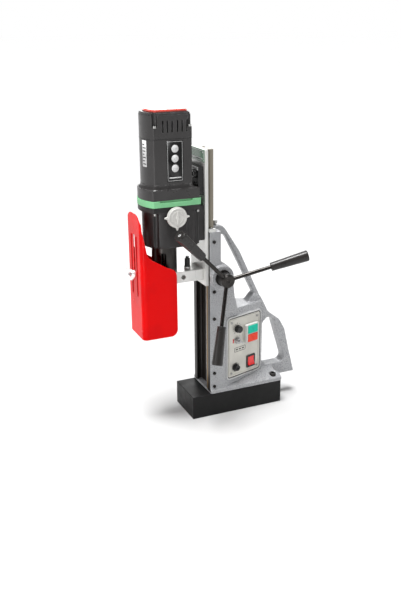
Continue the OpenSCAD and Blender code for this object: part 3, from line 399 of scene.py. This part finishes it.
def make_inks():
    """Finishes of the printed and plated details, and of the painted shade and highlight pieces."""
    return {
        "label_black": plain("label_black", (0.006, 0.006, 0.006), 0.3, specular=0.4),
        "label_white": plain("label_white", (0.68, 0.68, 0.68), 0.4),
        "label_silver": plain("label_silver", (0.6, 0.6, 0.6), 0.3, metal=0.6),
        # also the black of the painted shade pieces: the vent plates, the seam shadow and the panel's gap
        # shadow
        "ink_and_shade": plain("ink_and_shade", (0.01, 0.01, 0.01), 0.4),
        "red_ink": plain("red_ink", (0.7, 0.02, 0.02), 0.4),
        "chrome": plain("chrome", (0.82, 0.82, 0.82), 0.26, metal=0.7, coat=0.2),
        "nickel": plain("nickel", (0.80, 0.80, 0.79), 0.22, metal=0.4, coat=0.3),
        # a darker red for the pressed ribs: painted shade
        "rib_shade_red": plain("rib_shade_red", (0.42, 0.0005, 0.001), 0.4, specular=0.1),
        # a lighter cast finish for the panel's rim: a painted highlight
        "rim_highlight_cast": plain("rim_highlight_cast", (0.58, 0.58, 0.58), 0.3, metal=0.3, grain=300, height=0.0002),
        "dark_chrome": machined_steel("dark_chrome", (0.045, 0.042, 0.04), 0.24),
        "dark_bush": plain("dark_bush", (0.03, 0.028, 0.026), 0.35, metal=0.6),
    }


# ---------- mesh helpers ----------

def new_piece(name, mesh, material, body, stands_for=()):
    """Adds a visual piece that rides on a body."""
    mesh.materials.append(material)
    mesh.shade_smooth()
    piece = bpy.data.objects.new(name, mesh)
    SCENE.collection.objects.link(piece)
    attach(piece, body)
    if stands_for:
        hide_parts(*stands_for)
    return piece


def mesh_of(bm, name, place=Matrix()):
    """Turns a bmesh into a mesh, with its faces turned outward."""
    bm.normal_update()
    bmesh.ops.recalc_face_normals(bm, faces=bm.faces)
    mesh = bpy.data.meshes.new(name)
    bm.to_mesh(mesh)
    bm.free()
    mesh.transform(place)
    return mesh


def along(axis, at):
    """A placement that turns local +Z to axis and moves the origin to at."""
    turn = Vector((0, 0, 1)).rotation_difference(Vector(axis)).to_matrix().to_4x4()
    return Matrix.Translation(Vector(at)) @ turn


def round_edges(piece, width, segments=3):
    """Rounds the sharp edges of a piece with modifiers; width is in millimetres."""
    bevel = piece.modifiers.new("bevel", "BEVEL")
    bevel.width = width * MM
    bevel.segments = segments
    bevel.limit_method = "ANGLE"
    bevel.angle_limit = radians(30)
    piece.modifiers.new("weighted", "WEIGHTED_NORMAL").keep_sharp = True
    return piece


def shifted(place, x, y, z=0):
    """The placement moved by millimetres along its own axes."""
    return place @ Matrix.Translation(Vector((x, y, z)) * MM)


def lathe(bm, profile, place=Matrix(), steps=40):
    """Adds a closed solid of revolution about +Z; profile holds (radius, height) in millimetres."""
    rings = []
    for radius, height in profile:
        if radius == 0:
            rings.append([bm.verts.new(place @ Vector((0, 0, height * MM)))])
            continue
        rings.append([bm.verts.new(place @ Vector((radius * MM * cos(2 * pi * i / steps),
                                                   radius * MM * sin(2 * pi * i / steps), height * MM)))
                      for i in range(steps)])
    hollow = profile[0][0] > 0
    for one, two in zip(rings, rings[1:] + ([rings[0]] if hollow else [])):
        for i in range(steps):
            j = (i + 1) % steps
            corners = [one[i % len(one)], one[j % len(one)], two[j % len(two)], two[i % len(two)]]
            corners = [v for k, v in enumerate(corners) if v not in corners[:k]]
            if len(corners) > 2:
                bm.faces.new(corners)


def round_rect(width, height, radius, steps=5):
    """A rectangle with round corners about the origin."""
    points = []
    for cx, cy, start in ((1, 1, 0), (-1, 1, 90), (-1, -1, 180), (1, -1, 270)):
        for i in range(steps + 1):
            turn = radians(start + 90 * i / steps)
            points.append((cx * (width / 2 - radius) + radius * cos(turn),
                           cy * (height / 2 - radius) + radius * sin(turn)))
    return points


def slab(bm, outline, low, high, place=Matrix()):
    """Adds a plate: an outline in millimetres between two local heights."""
    rings = [[bm.verts.new(place @ Vector((x * MM, y * MM, z * MM))) for x, y in outline]
             for z in (low, high)]
    bm.faces.new(rings[0][::-1])
    bm.faces.new(rings[1])
    for i in range(len(outline)):
        j = (i + 1) % len(outline)
        bm.faces.new((rings[0][i], rings[0][j], rings[1][j], rings[1][i]))


def loft(bm, rings, closed=True):
    """Skins a list of rings of vertices with equal counts."""
    for one, two in zip(rings, rings[1:] + (rings[:1] if closed else [])):
        for i in range(len(one)):
            j = (i + 1) % len(one)
            bm.faces.new((one[i], one[j], two[j], two[i]))


def socket_head(bm, radius, height, place):
    """Adds a round screw head with a six-sided socket."""
    def ring(size, count, z):
        """One ring of vertices at a local height."""
        turns = [2 * pi * i / count for i in range(count)]
        return [bm.verts.new(place @ Vector((size * MM * cos(t), size * MM * sin(t), z * MM)))
                for t in turns]

    top, floor = ring(radius * 0.52, 6, height), ring(radius * 0.52, 6, height * 0.45)
    outer = [ring(r, 24, z) for r, z in ((radius, 0), (radius, height * 0.75), (radius * 0.86, height))]
    loft(bm, outer, closed=False)
    bm.faces.new(outer[0][::-1])
    bm.faces.new(floor)
    for i in range(6):
        j = (i + 1) % 6
        bm.faces.new((floor[i], floor[j], top[j], top[i]))
        bm.faces.new([top[i], top[j]] + [outer[2][(4 * j - k) % 24] for k in range(5)])


# ---------- the CAD pieces ----------

def clear_normals(mesh):
    """Drops the imported normals, so that modifiers can shade the mesh."""
    if "custom_normal" in mesh.attributes:
        mesh.attributes.remove(mesh.attributes["custom_normal"])
    mesh.shade_smooth()


def soften(node, width):
    """Rounds a CAD node's edges with modifiers, and shades it smooth between them."""
    obj = NODES[node]
    clear_normals(obj.data)
    weld = obj.modifiers.new("weld", "WELD")
    weld.merge_threshold = 0.01 * MM
    if node not in UNFLATTENED:
        flat = obj.modifiers.new("flat", "DECIMATE")
        flat.decimate_type = "DISSOLVE"
        flat.angle_limit = radians(0.6)
    bevel = obj.modifiers.new("bevel", "BEVEL")
    bevel.width = width * MM
    bevel.segments = 2
    bevel.limit_method = "ANGLE"
    bevel.angle_limit = radians(35)
    bevel.use_clamp_overlap = False
    bevel.miter_outer = "MITER_ARC"
    weighted = obj.modifiers.new("weighted", "WEIGHTED_NORMAL")
    weighted.keep_sharp = True
    weighted.weight = 60


def dress_nodes(finishes):
    """Gives each CAD node its slot's material."""
    for part in frame["record"]["subparts"]:
        obj = NODES[part["node"]]
        obj.data.materials.clear()
        obj.data.materials.append(finishes[part["material_slot"]])


# edge rounding of the CAD nodes, in millimetres
EDGES = {"magnet_core": 1.2, "slide_plate": 0.5, "slide_dovetail": 0.4, "gearbox_case": 1.2,
         "motor_housing": 1.4, "motor_cap": 0.6, "cap_insert": 0.7, "band_gasket": 0.8,
         "support_bracket": 0.7, "chip_guard": 0.5, "gear_knob": 0.7, "control_panel": 0.4,
         "switch_block": 0.6, "start_button": 0.6, "stop_button": 0.6, "rocker_bezel": 0.5,
         "magnet_rocker": 0.5, "speed_knob": 0.5, "mode_selector": 0.5, "capstan_hub": 0.8,
         "capstan_grips": 0.5, "capstan_arms": 0.5, "spindle": 0.8, "name_plate": 0.3,
         "column_caps": 0.6, "cap_screws": 0.4, "junction_box": 1.0, "guard_mount": 0.5,
         "tool_arbor": 0.6, "coolant_fitting": 0.4, "motor_gland": 0.5, "mains_gland": 0.5,
         "gib_screws": 0.3, "base_bolts": 0.4, "pinion_bushes": 0.5, "wing_nut": 0.5,
         "fuse_holder": 0.5, "panel_screws": 0.2, "slide_bolts": 0.3}


# walls with holes right through keep their triangles
UNFLATTENED = ("motor_cap",)


# ---------- the cast stand ----------

CAST_VOXEL = 1.25
ROUND_STEPS = 26
HANDLE_HALF = 0.0165
HANDLE_Y = -0.04
GRIP_Y = 0.088
PANEL_TO_TOP = 0.025
MOUTH_HALF = 0.0345


def remeshed(node, voxel):
    """A voxel remesh of a CAD node, as a new mesh."""
    mesh = NODES[node].data.copy()
    clear_normals(mesh)
    shell = bpy.data.objects.new(node + "_shell", mesh)
    SCENE.collection.objects.link(shell)
    weld = shell.modifiers.new("weld", "WELD")
    weld.merge_threshold = 0.01 * MM
    remesh = shell.modifiers.new("remesh", "REMESH")
    remesh.mode = "VOXEL"
    remesh.voxel_size = voxel * MM
    bpy.context.view_layer.update()
    done = bpy.data.meshes.new_from_object(shell.evaluated_get(bpy.context.evaluated_depsgraph_get()))
    bpy.data.objects.remove(shell)
    return done


def relax(mesh, steps, weight_of):
    """Rounds a mesh: each step moves a vertex towards its neighbours' mean, by its weight."""
    count = len(mesh.vertices)
    place = np.empty(count * 3)
    mesh.vertices.foreach_get("co", place)
    place = place.reshape(-1, 3)
    ends = np.empty(len(mesh.edges) * 2, dtype=np.int64)
    mesh.edges.foreach_get("vertices", ends)
    ends = ends.reshape(-1, 2)
    one, two = np.concatenate([ends[:, 0], ends[:, 1]]), np.concatenate([ends[:, 1], ends[:, 0]])
    links = np.maximum(np.bincount(one, minlength=count), 1)
    weight = weight_of(place)[:, None]
    for _ in range(steps):
        mean = np.stack([np.bincount(one, place[two, k], count) / links for k in range(3)], axis=1)
        place = place + (mean - place) * 0.5 * weight
    mesh.vertices.foreach_set("co", place.ravel())
    mesh.update()


def cast_weight(place):
    """Full rounding on the handle, less on the upper parts and the grip, a little elsewhere."""
    house_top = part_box("control_panel")[1][2] + PANEL_TO_TOP
    x, y, z = place.T
    rear = y > GRIP_Y
    handle = (np.abs(x) < HANDLE_HALF) & (rear | ((z > house_top - 0.002) & (y > HANDLE_Y)))
    grip = handle & rear & (z < house_top)
    upper = (z > house_top - 0.012) & (y > HANDLE_Y - 0.005)
    return np.where(grip, 0.25, np.where(handle, 1.0, np.where(upper, 0.45, 0.10)))


def open_channel(mesh, gap):
    """Sets the slide channel's walls and floor back, clear of the dovetail."""
    count = len(mesh.vertices)
    place, normal = np.empty(count * 3), np.empty(count * 3)
    mesh.vertices.foreach_get("co", place)
    mesh.vertices.foreach_get("normal", normal)
    place, normal = place.reshape(-1, 3), normal.reshape(-1, 3)
    x, y, z = place.T
    half = np.where(y < FRONT_FACE[1], MOUTH_HALF, CHANNEL_HALF + 0.0003)
    inside = (np.abs(x) < half) & (y < CHANNEL_Y[1] + 0.0025) & (z > COLUMN_Z[0] - 0.003)
    place[inside] -= normal[inside] * gap * MM
    mesh.vertices.foreach_set("co", place.ravel())
    mesh.update()


def cast_stand(finish):
    """The stand casting again, with the soft edges of a casting."""
    mesh = remeshed("stand_casting", CAST_VOXEL)
    relax(mesh, ROUND_STEPS, cast_weight)
    open_channel(mesh, 0.9)
    mesh.materials.clear()
    return new_piece("cast_stand", mesh, finish, "stand", ("stand_casting",))


# ---------- the motor ----------

def bulged(half, front, bulge, back, count=28):
    """A plan with straight sides and a front that bulges by an arc, as points in millimetres."""
    radius = (half * half + bulge * bulge) / (2 * bulge)
    middle = front - bulge + radius
    points = []
    for i in range(count + 1):
        x = -half + 2 * half * i / count
        points.append((x, middle - sqrt(radius * radius - x * x)))
    for i in range(1, 9):
        points.append((half, front + (back - front) * i / 8))
    for i in range(1, 8):
        points.append((half - 2 * half * i / 8, back))
    for i in range(9):
        points.append((-half, back + (front - back) * i / 8))
    return points[:-1]


HEAD = (50, -214, 15, -100)
BODY = (45, -207, 14, -116)
SHOULDER = 589
COVE_REACH = 0.76


def skirt_cove(finishes):
    """The concave flare between the motor's body and its skirt."""
    bm = bmesh.new()
    rings = []
    rise, steps = 12, 8
    wide, slim = bulged(*HEAD), bulged(*BODY)
    for i in range(steps + 1):
        turn = pi / 2 * i / steps
        mix, height = COVE_REACH * (1 - sin(turn)), rise * (1 - cos(turn))
        outline = [Vector(b).lerp(Vector(a), mix) for a, b in zip(wide, slim)]
        rings.append([bm.verts.new(Vector((*point, SHOULDER + height)) * MM) for point in outline])
    inner = [[bm.verts.new(Vector((x * 0.98, -160 + (y + 160) * 0.98, z)) * MM) for x, y in slim]
             for z in (SHOULDER + rise, SHOULDER - 0.5)]
    loft(bm, rings + inner)
    mesh = mesh_of(bm, "skirt_cove")
    new_piece("skirt_cove", mesh, finishes["motor_plastic"], "carriage")


def front_label(inks):
    """A plain light label that follows the motor's front, with dark bars on it."""
    half, front, bulge, _ = BODY
    radius = (half * half + bulge * bulge) / (2 * bulge)
    middle = front - bulge + radius

    def patch(bm, x0, x1, z0, z1, proud):
        """A thin plate that follows the motor's front and stands proud of it."""
        rings = []
        for grow in (0.1, proud):
            rings.append([])
            for i in range(9):
                x = x0 + (x1 - x0) * i / 8
                rings[-1].append((x, middle - sqrt(radius * radius - x * x) - grow))
        corners = [[[bm.verts.new(Vector((x, y, z)) * MM) for x, y in ring] for z in (z0, z1)]
                   for ring in rings]
        (a, b), (c, d) = corners
        for i in range(8):
            bm.faces.new((c[i], c[i + 1], d[i + 1], d[i]))
            bm.faces.new((a[i], b[i], b[i + 1], a[i + 1]))
            bm.faces.new((a[i], a[i + 1], c[i + 1], c[i]))
            bm.faces.new((b[i], d[i], d[i + 1], b[i + 1]))
        bm.faces.new((a[0], c[0], d[0], b[0]))
        bm.faces.new((a[8], b[8], d[8], c[8]))

    bm = bmesh.new()
    patch(bm, 7, 24, 640, 699, 0.35)
    new_piece("front_label", mesh_of(bm, "front_label"), inks["label_white"], "carriage")
    bm = bmesh.new()
    for k, width in enumerate((13, 9, 12, 7, 11, 13, 8)):
        low = 645 + 7.2 * k
        patch(bm, 9, 9 + width, low, low + 2.2, 0.42)
    new_piece("front_label_bars", mesh_of(bm, "front_label_bars"), inks["ink_and_shade"], "carriage")


def side_labels(inks):
    """Plain black labels on both sides of the motor, with a pale border, discs and a bar."""
    for side, name in ((1, "right"), (-1, "left")):
        place = placed((side * 45, -157.5, 652), (0, side, 0), (0, 0, 1))
        bm = bmesh.new()
        slab(bm, round_rect(40, 92, 2), 0.05, 0.35, place)
        mesh = mesh_of(bm, "side_label")
        new_piece("side_label_" + name, mesh, inks["label_black"], "carriage")
        bm = bmesh.new()
        outer, inner = round_rect(36, 88, 1.5), round_rect(34.6, 86.6, 1)
        frame_ring(bm, outer, inner, 0.3, 0.45, place)
        slab(bm, round_rect(29, 2.4, 0.4), 0.3, 0.45, shifted(place, 0, -37))
        for k in (-1, 0, 1):
            slab(bm, round_rect(17, 17, 8.4), 0.3, 0.45, shifted(place, 0, 6 + 22 * k))
        mesh = mesh_of(bm, "side_mark")
        new_piece("side_mark_" + name, mesh, inks["label_white"], "carriage")


def rounded(points, steps=5):
    """An outline whose points are (x, y, corner radius)."""
    result = []
    for k, (x, y, radius) in enumerate(points):
        here = Vector((x, y))
        if radius == 0:
            result.append((x, y))
            continue
        before = (Vector(points[k - 1][:2]) - here).normalized()
        after = (Vector(points[(k + 1) % len(points)][:2]) - here).normalized()
        half = before.angle(after) / 2
        centre = here + (before + after).normalized() * radius / sin(half)
        start = here + before * radius * cos(half) / sin(half) - centre
        end = here + after * radius * cos(half) / sin(half) - centre
        for i in range(steps + 1):
            spoke = (start * (1 - i / steps) + end * (i / steps)).normalized() * radius
            result.append(tuple(centre + spoke))
    return result


def frame_ring(bm, outer, inner, low, high, place=Matrix()):
    """Adds a flat ring between two outlines of equal counts."""
    rings = [[bm.verts.new(place @ Vector((x * MM, y * MM, z * MM))) for x, y in points]
             for points, z in ((outer, low), (outer, high), (inner, high), (inner, low))]
    loft(bm, rings)


def placed(origin, right, up):
    """A placement in millimetres whose local X is right, Y is up and Z is their cross product."""
    right, up = Vector(right), Vector(up)
    turn = Matrix((right, up, right.cross(up))).transposed().to_4x4()
    return Matrix.Translation(Vector(origin) * MM) @ turn


def cap_details(inks):
    """Dark plates behind the cap's vents, as painted shade inside them, and a dark line at its seam as
    painted shadow.
    """
    # a dark plate behind each vent: painted shade
    bm = bmesh.new()
    for side in (1, -1):
        place = placed((side * 40.2, -156.5, 729), (0, side, 0), (0, 0, 1))
        slab(bm, round_rect(70, 32, 2), -1.2, 0, place)
    new_piece("vent_shade", mesh_of(bm, "vent_shade"), inks["ink_and_shade"], "carriage")
    bm = bmesh.new()
    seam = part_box("motor_cap")[0].z / MM
    rings = [[bm.verts.new(Vector((x * k, -160 + (y + 160) * k, z)) * MM) for x, y in bulged(*BODY)]
             for z, k in ((seam - 0.5, 0.985), (seam - 0.5, 1.003),
                          (seam + 0.5, 1.003), (seam + 0.5, 0.985))]
    loft(bm, rings)
    new_piece("seam_shadow", mesh_of(bm, "seam_shadow"), inks["ink_and_shade"], "carriage")


# ---------- the slide ----------

def slide_details(inks):
    """Border and rivets of the name plate, and the silver label beside the cable's gland."""
    low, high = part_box("name_plate")
    centre = (low + high) / 2 / MM
    width, height = (high.x - low.x) / MM, (high.z - low.z) / MM
    place = placed((centre.x, low.y / MM, centre.z), (1, 0, 0), (0, 0, 1))
    bm = bmesh.new()
    outer, inner = round_rect(width - 3, height - 3, 1.5), round_rect(width - 5, height - 5, 1)
    frame_ring(bm, outer, inner, -0.1, 0.25, place)
    slab(bm, round_rect(width - 16, 3.4, 1), -0.1, 0.25, shifted(place, 0, -7))
    mesh = mesh_of(bm, "plate_border")
    new_piece("plate_border", mesh, inks["label_silver"], "carriage")
    bm = bmesh.new()
    for x in (-1, 1):
        lathe(bm, [(0, -0.1), (2, -0.1), (1.9, 0.6), (1.1, 1.1), (0, 1.25)],
              shifted(place, x * (width / 2 - 5), 9), 20)
    new_piece("plate_rivets", mesh_of(bm, "plate_rivets"), inks["chrome"], "carriage")
    low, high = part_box("junction_box")
    place = placed((12, low.y / MM, high.z / MM - 5), (1, 0, 0), (0, 0, 1))
    bm = bmesh.new()
    slab(bm, round_rect(50, 8, 1), -0.1, 0.4, place)
    new_piece("box_label", mesh_of(bm, "box_label"), inks["label_silver"], "carriage")
    low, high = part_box("motor_gland")
    centre = (low + high) / 2 / MM
    place = placed((centre.x, low.y / MM, centre.z), (1, 0, 0), (0, 0, 1))
    bm = bmesh.new()
    lathe(bm, [(5, -2), (8.6, -2), (8.6, -0.4), (7.6, 0.5), (5.6, 0.5), (5, 0)], place)
    new_piece("gland_ring", mesh_of(bm, "gland_ring"), inks["chrome"], "carriage")


# ---------- the guard's nut ----------

def wing_nut(inks):
    """A wing nut: a turned hub and two flat wings that rise outward."""
    low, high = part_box("wing_nut")
    centre = (low + high) / 2 / MM
    place = placed((centre.x, high.y / MM, centre.z), (1, 0, 0), (0, 0, 1))
    bm = bmesh.new()
    lathe(bm, [(4.2, 0), (7.6, 0), (8, 0.8), (7.6, 4), (6.6, 7.6), (6, 8.8), (4.2, 8.8)], place, 36)
    mesh = mesh_of(bm, "nut_hub")
    new_piece("nut_hub", mesh, inks["nickel"], "wing_nut_body", ("wing_nut",))
    outline = rounded([(5, 1, 0), (10, 1.5, 3), (15, 5, 6), (22, 12, 4.5), (20, 20.5, 4.5),
                       (13, 18, 6), (5, 8.5, 0)])
    turn = Matrix.Rotation(radians(-25), 4, "Z")
    for side, name in ((1, "a"), (-1, "b")):
        bm = bmesh.new()
        wing_plane = placed((0, 0, 0), (side, 0, 0), (0, 0, 1))
        slab(bm, outline, -2, 2, place @ turn @ wing_plane)
        wing = new_piece("nut_wing_" + name, mesh_of(bm, "nut_wing"), inks["nickel"], "wing_nut_body")
        round_edges(wing, 1.5, 4)


# ---------- guard, knob and fitting ----------

def guard_ribs(inks):
    """Two pressed ribs beside the guard's slot, in a darker red that paints the shade along them."""
    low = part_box("chip_guard")[0]
    place = placed((0, low.y / MM, 408), (1, 0, 0), (0, 0, 1))
    rib = ((-2.6, -0.3), (-2.2, 0.6), (-1.1, 1.5), (0, 1.7), (1.1, 1.5), (2.2, 0.6), (2.6, -0.3))
    bm = bmesh.new()
    for side in (-1, 1):
        rings = []
        for x, lift in rib:
            length = 72 - 0.9 * x * x
            line = ((-length - 2, -0.3), (-length, lift), (0, lift), (length, lift), (length + 2, -0.3))
            rings.append([bm.verts.new(place @ (Vector((17 * side + x, y, z)) * MM)) for y, z in line])
        for one, two in zip(rings, rings[1:]):
            for i in range(4):
                bm.faces.new((one[i], two[i], two[i + 1], one[i + 1]))
    new_piece("guard_ribs", mesh_of(bm, "guard_ribs"), inks["rib_shade_red"], "guard_body")


def knob_rings(finishes):
    """Turned rings and a centre boss on the gear knob's face."""
    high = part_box("gear_knob")[1]
    face = placed((high.x / MM - 2, -160, 526), (0, 1, 0), (0, 0, 1))
    bm = bmesh.new()
    for radius, lift in ((20.5, 0.5), (14, 0.8)):
        lathe(bm, [(radius - 1.3, -0.4), (radius + 0.9, -0.4), (radius + 0.7, lift),
                   (radius - 0.8, lift)], face, 56)
    lathe(bm, [(0, -0.4), (5, -0.4), (4.6, 1.2), (0, 1.6)], face, 32)
    mesh = mesh_of(bm, "knob_rings")
    new_piece("knob_rings", mesh, finishes["knob_alloy"], "gear_knob_body")


def fitting_nut(inks):
    """The bright nut and hose barb of the coolant fitting."""
    low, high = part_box("coolant_fitting")
    centre = (low + high) / 2 / MM
    base = Matrix.Translation(Vector((centre.x, centre.y, low.z / MM + 9.5)) * MM)
    bm = bmesh.new()
    hexagon = [(8.2 * cos(pi * i / 3), 8.2 * sin(pi * i / 3)) for i in range(6)]
    slab(bm, hexagon, 0.1, 5.9, base)
    mesh = mesh_of(bm, "fitting_nut")
    nut = new_piece("fitting_nut", mesh, inks["chrome"], "carriage")
    round_edges(nut, 0.7, 2)
    bm = bmesh.new()
    profile = [(2.6, 6), (6.6, 6)]
    for k in range(4):
        profile += [(6.9, 8 + 4 * k), (5.9, 11.2 + 4 * k)]
    lathe(bm, profile + [(4.6, 25), (2.6, 25)], base, 32)
    new_piece("fitting_barb", mesh_of(bm, "fitting_barb"), inks["ink_and_shade"], "carriage")


# ---------- the capstan ----------

ARM_X = 82
ARM_ANGLE = 135.4
ARM_RAKE = 14.4
ARM_L = 203


def capstan_details(finishes, inks):
    """The hub's ring and screw, and the screws and rings on the grips' ends."""
    low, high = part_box("capstan_hub")
    centre = (low + high) / 2 / MM
    face = placed((high.x / MM, centre.y, centre.z), (0, 1, 0), (0, 0, 1))
    bm = bmesh.new()
    lathe(bm, [(9, -1), (13.4, -1), (13.4, 0.2), (12.9, 0.5), (9.6, 0.5), (9, 0.2)], face, 48)
    new_piece("hub_ring", mesh_of(bm, "hub_ring"), finishes["oxide_steel"], "capstan_body")
    bm = bmesh.new()
    socket_head(bm, 5.2, 2.2, shifted(face, 0, 0, -0.8))
    new_piece("hub_screw", mesh_of(bm, "hub_screw"), inks["dark_chrome"], "capstan_body")
    hub = Vector((ARM_X, centre.y, centre.z))
    screws, rings = bmesh.new(), bmesh.new()
    rake = Matrix.Rotation(radians(-ARM_RAKE), 4, "Z")
    for i in range(3):
        ahead = Matrix.Rotation(radians(ARM_ANGLE + 120 * i), 4, "X") @ rake @ Vector((0, 1, 0))
        end = along(ahead, (hub + ahead * ARM_L) * MM)
        socket_head(screws, 3.4, 1.4, shifted(end, 0, 0, -0.9))
        lathe(rings, [(5.2, -0.6), (6.6, -0.6), (6.6, 0.1), (6.1, 0.35), (5.6, 0.35), (5.2, 0.1)], end, 32)
    mesh = mesh_of(screws, "grip_screws")
    new_piece("grip_screws", mesh, inks["chrome"], "capstan_body")
    mesh = mesh_of(rings, "grip_rings")
    new_piece("grip_rings", mesh, finishes["grip_rubber"], "capstan_body")


# ---------- the control panel ----------

PANEL_TURN = radians(16.1)
PANEL_W = 107
PANEL_T = 3.0


def panel_details(inks):
    """Marks printed on the control panel, a dark ring in the gap around it as painted shadow, and the
    casting's raised rim in a lighter finish as painted highlight.
    """
    low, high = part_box("control_panel")
    right = Vector((-sin(PANEL_TURN), cos(PANEL_TURN), 0))
    out = Vector((cos(PANEL_TURN), sin(PANEL_TURN), 0))
    corner = Vector((low.x / MM + PANEL_W * sin(PANEL_TURN), low.y / MM, low.z / MM))

    def spot(node):
        """A placement on the panel's face, under the middle of a node."""
        a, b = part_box(node)
        middle = (a + b) / 2 / MM
        shift = out * ((middle - corner).dot(out) - PANEL_T)
        return placed(middle - shift, right, (0, 0, 1))

    bm = bmesh.new()
    dial = spot("speed_knob")
    for k in range(11):
        turn = Matrix.Rotation(radians(225 - 27 * k), 4, "Z")
        end = 14.5 if k % 5 else 16
        slab(bm, [(12, -0.4), (end, -0.4), (end, 0.4), (12, 0.4)], -0.05, 0.15, dial @ turn)
    for turn in (60, 105, 150):
        slab(bm, [(11.5, -0.5), (14, -0.5), (14, 0.5), (11.5, 0.5)], -0.05, 0.15,
             spot("mode_selector") @ Matrix.Rotation(radians(turn), 4, "Z"))
    fuse = spot("fuse_holder")
    frame_ring(bm, round_rect(24, 24, 12, 10), round_rect(22.4, 22.4, 11.2, 10), -0.05, 0.12, fuse)
    new_piece("panel_ticks", mesh_of(bm, "panel_ticks"), inks["ink_and_shade"], "stand")
    bm = bmesh.new()
    slab(bm, round_rect(3.6, 11, 0.6), -0.05, 0.18, shifted(spot("mode_selector"), -15.5, 1))
    new_piece("selector_mark", mesh_of(bm, "selector_mark"), inks["red_ink"], "stand")
    bm = bmesh.new()
    legend = shifted(spot("mode_selector"), 7, -25)
    frame_ring(bm, round_rect(38, 12, 2), round_rect(35.8, 9.8, 1.2), -0.05, 0.15, legend)
    for k in (-1, 0, 1):
        slab(bm, round_rect(7, 3.2, 0.8), -0.05, 0.15, shifted(legend, 10.5 * k, 0))
    new_piece("panel_legend", mesh_of(bm, "panel_legend"), inks["ink_and_shade"], "stand")
    # a dark ring in the gap round the panel: painted shadow
    bm = bmesh.new()
    height = (high.z - low.z) / MM
    middle = placed(corner + right * PANEL_W / 2 + Vector((0, 0, height / 2)), right, (0, 0, 1))
    frame_ring(bm, round_rect(PANEL_W + 3.6, height + 3.6, 7), round_rect(PANEL_W + 0.4, height + 0.4, 6),
               0, 2.6, middle)
    new_piece("panel_gap_shadow", mesh_of(bm, "panel_gap_shadow"), inks["ink_and_shade"], "stand")
    # the casting's raised rim, in a lighter finish as a painted highlight
    bm = bmesh.new()
    outer, inner = round_rect(PANEL_W + 10.5, height + 12.5, 10.5), round_rect(PANEL_W + 5, height + 5, 8.5)
    frame_ring(bm, outer, inner, 1.5, 4.1, middle)
    rim = new_piece("panel_rim", mesh_of(bm, "panel_rim"), inks["rim_highlight_cast"], "stand")
    round_edges(rim, 0.9)


# ---------- build ----------

make_camera()
make_floor()
make_light()
finishes = make_finishes()
inks = make_inks()
dress_nodes(finishes)
for name, width in EDGES.items():
    soften(name, width)
NODES["capstan_arms"].data.materials[0] = inks["dark_chrome"]
NODES["pinion_bushes"].data.materials[0] = inks["dark_bush"]
NODES["gib_screws"].data.materials[0] = inks["dark_chrome"]
cast_stand(finishes["cast_paint"])
skirt_cove(finishes)
front_label(inks)
side_labels(inks)
cap_details(inks)
slide_details(inks)
wing_nut(inks)
guard_ribs(inks)
knob_rings(finishes)
fitting_nut(inks)
capstan_details(finishes, inks)
panel_details(inks)
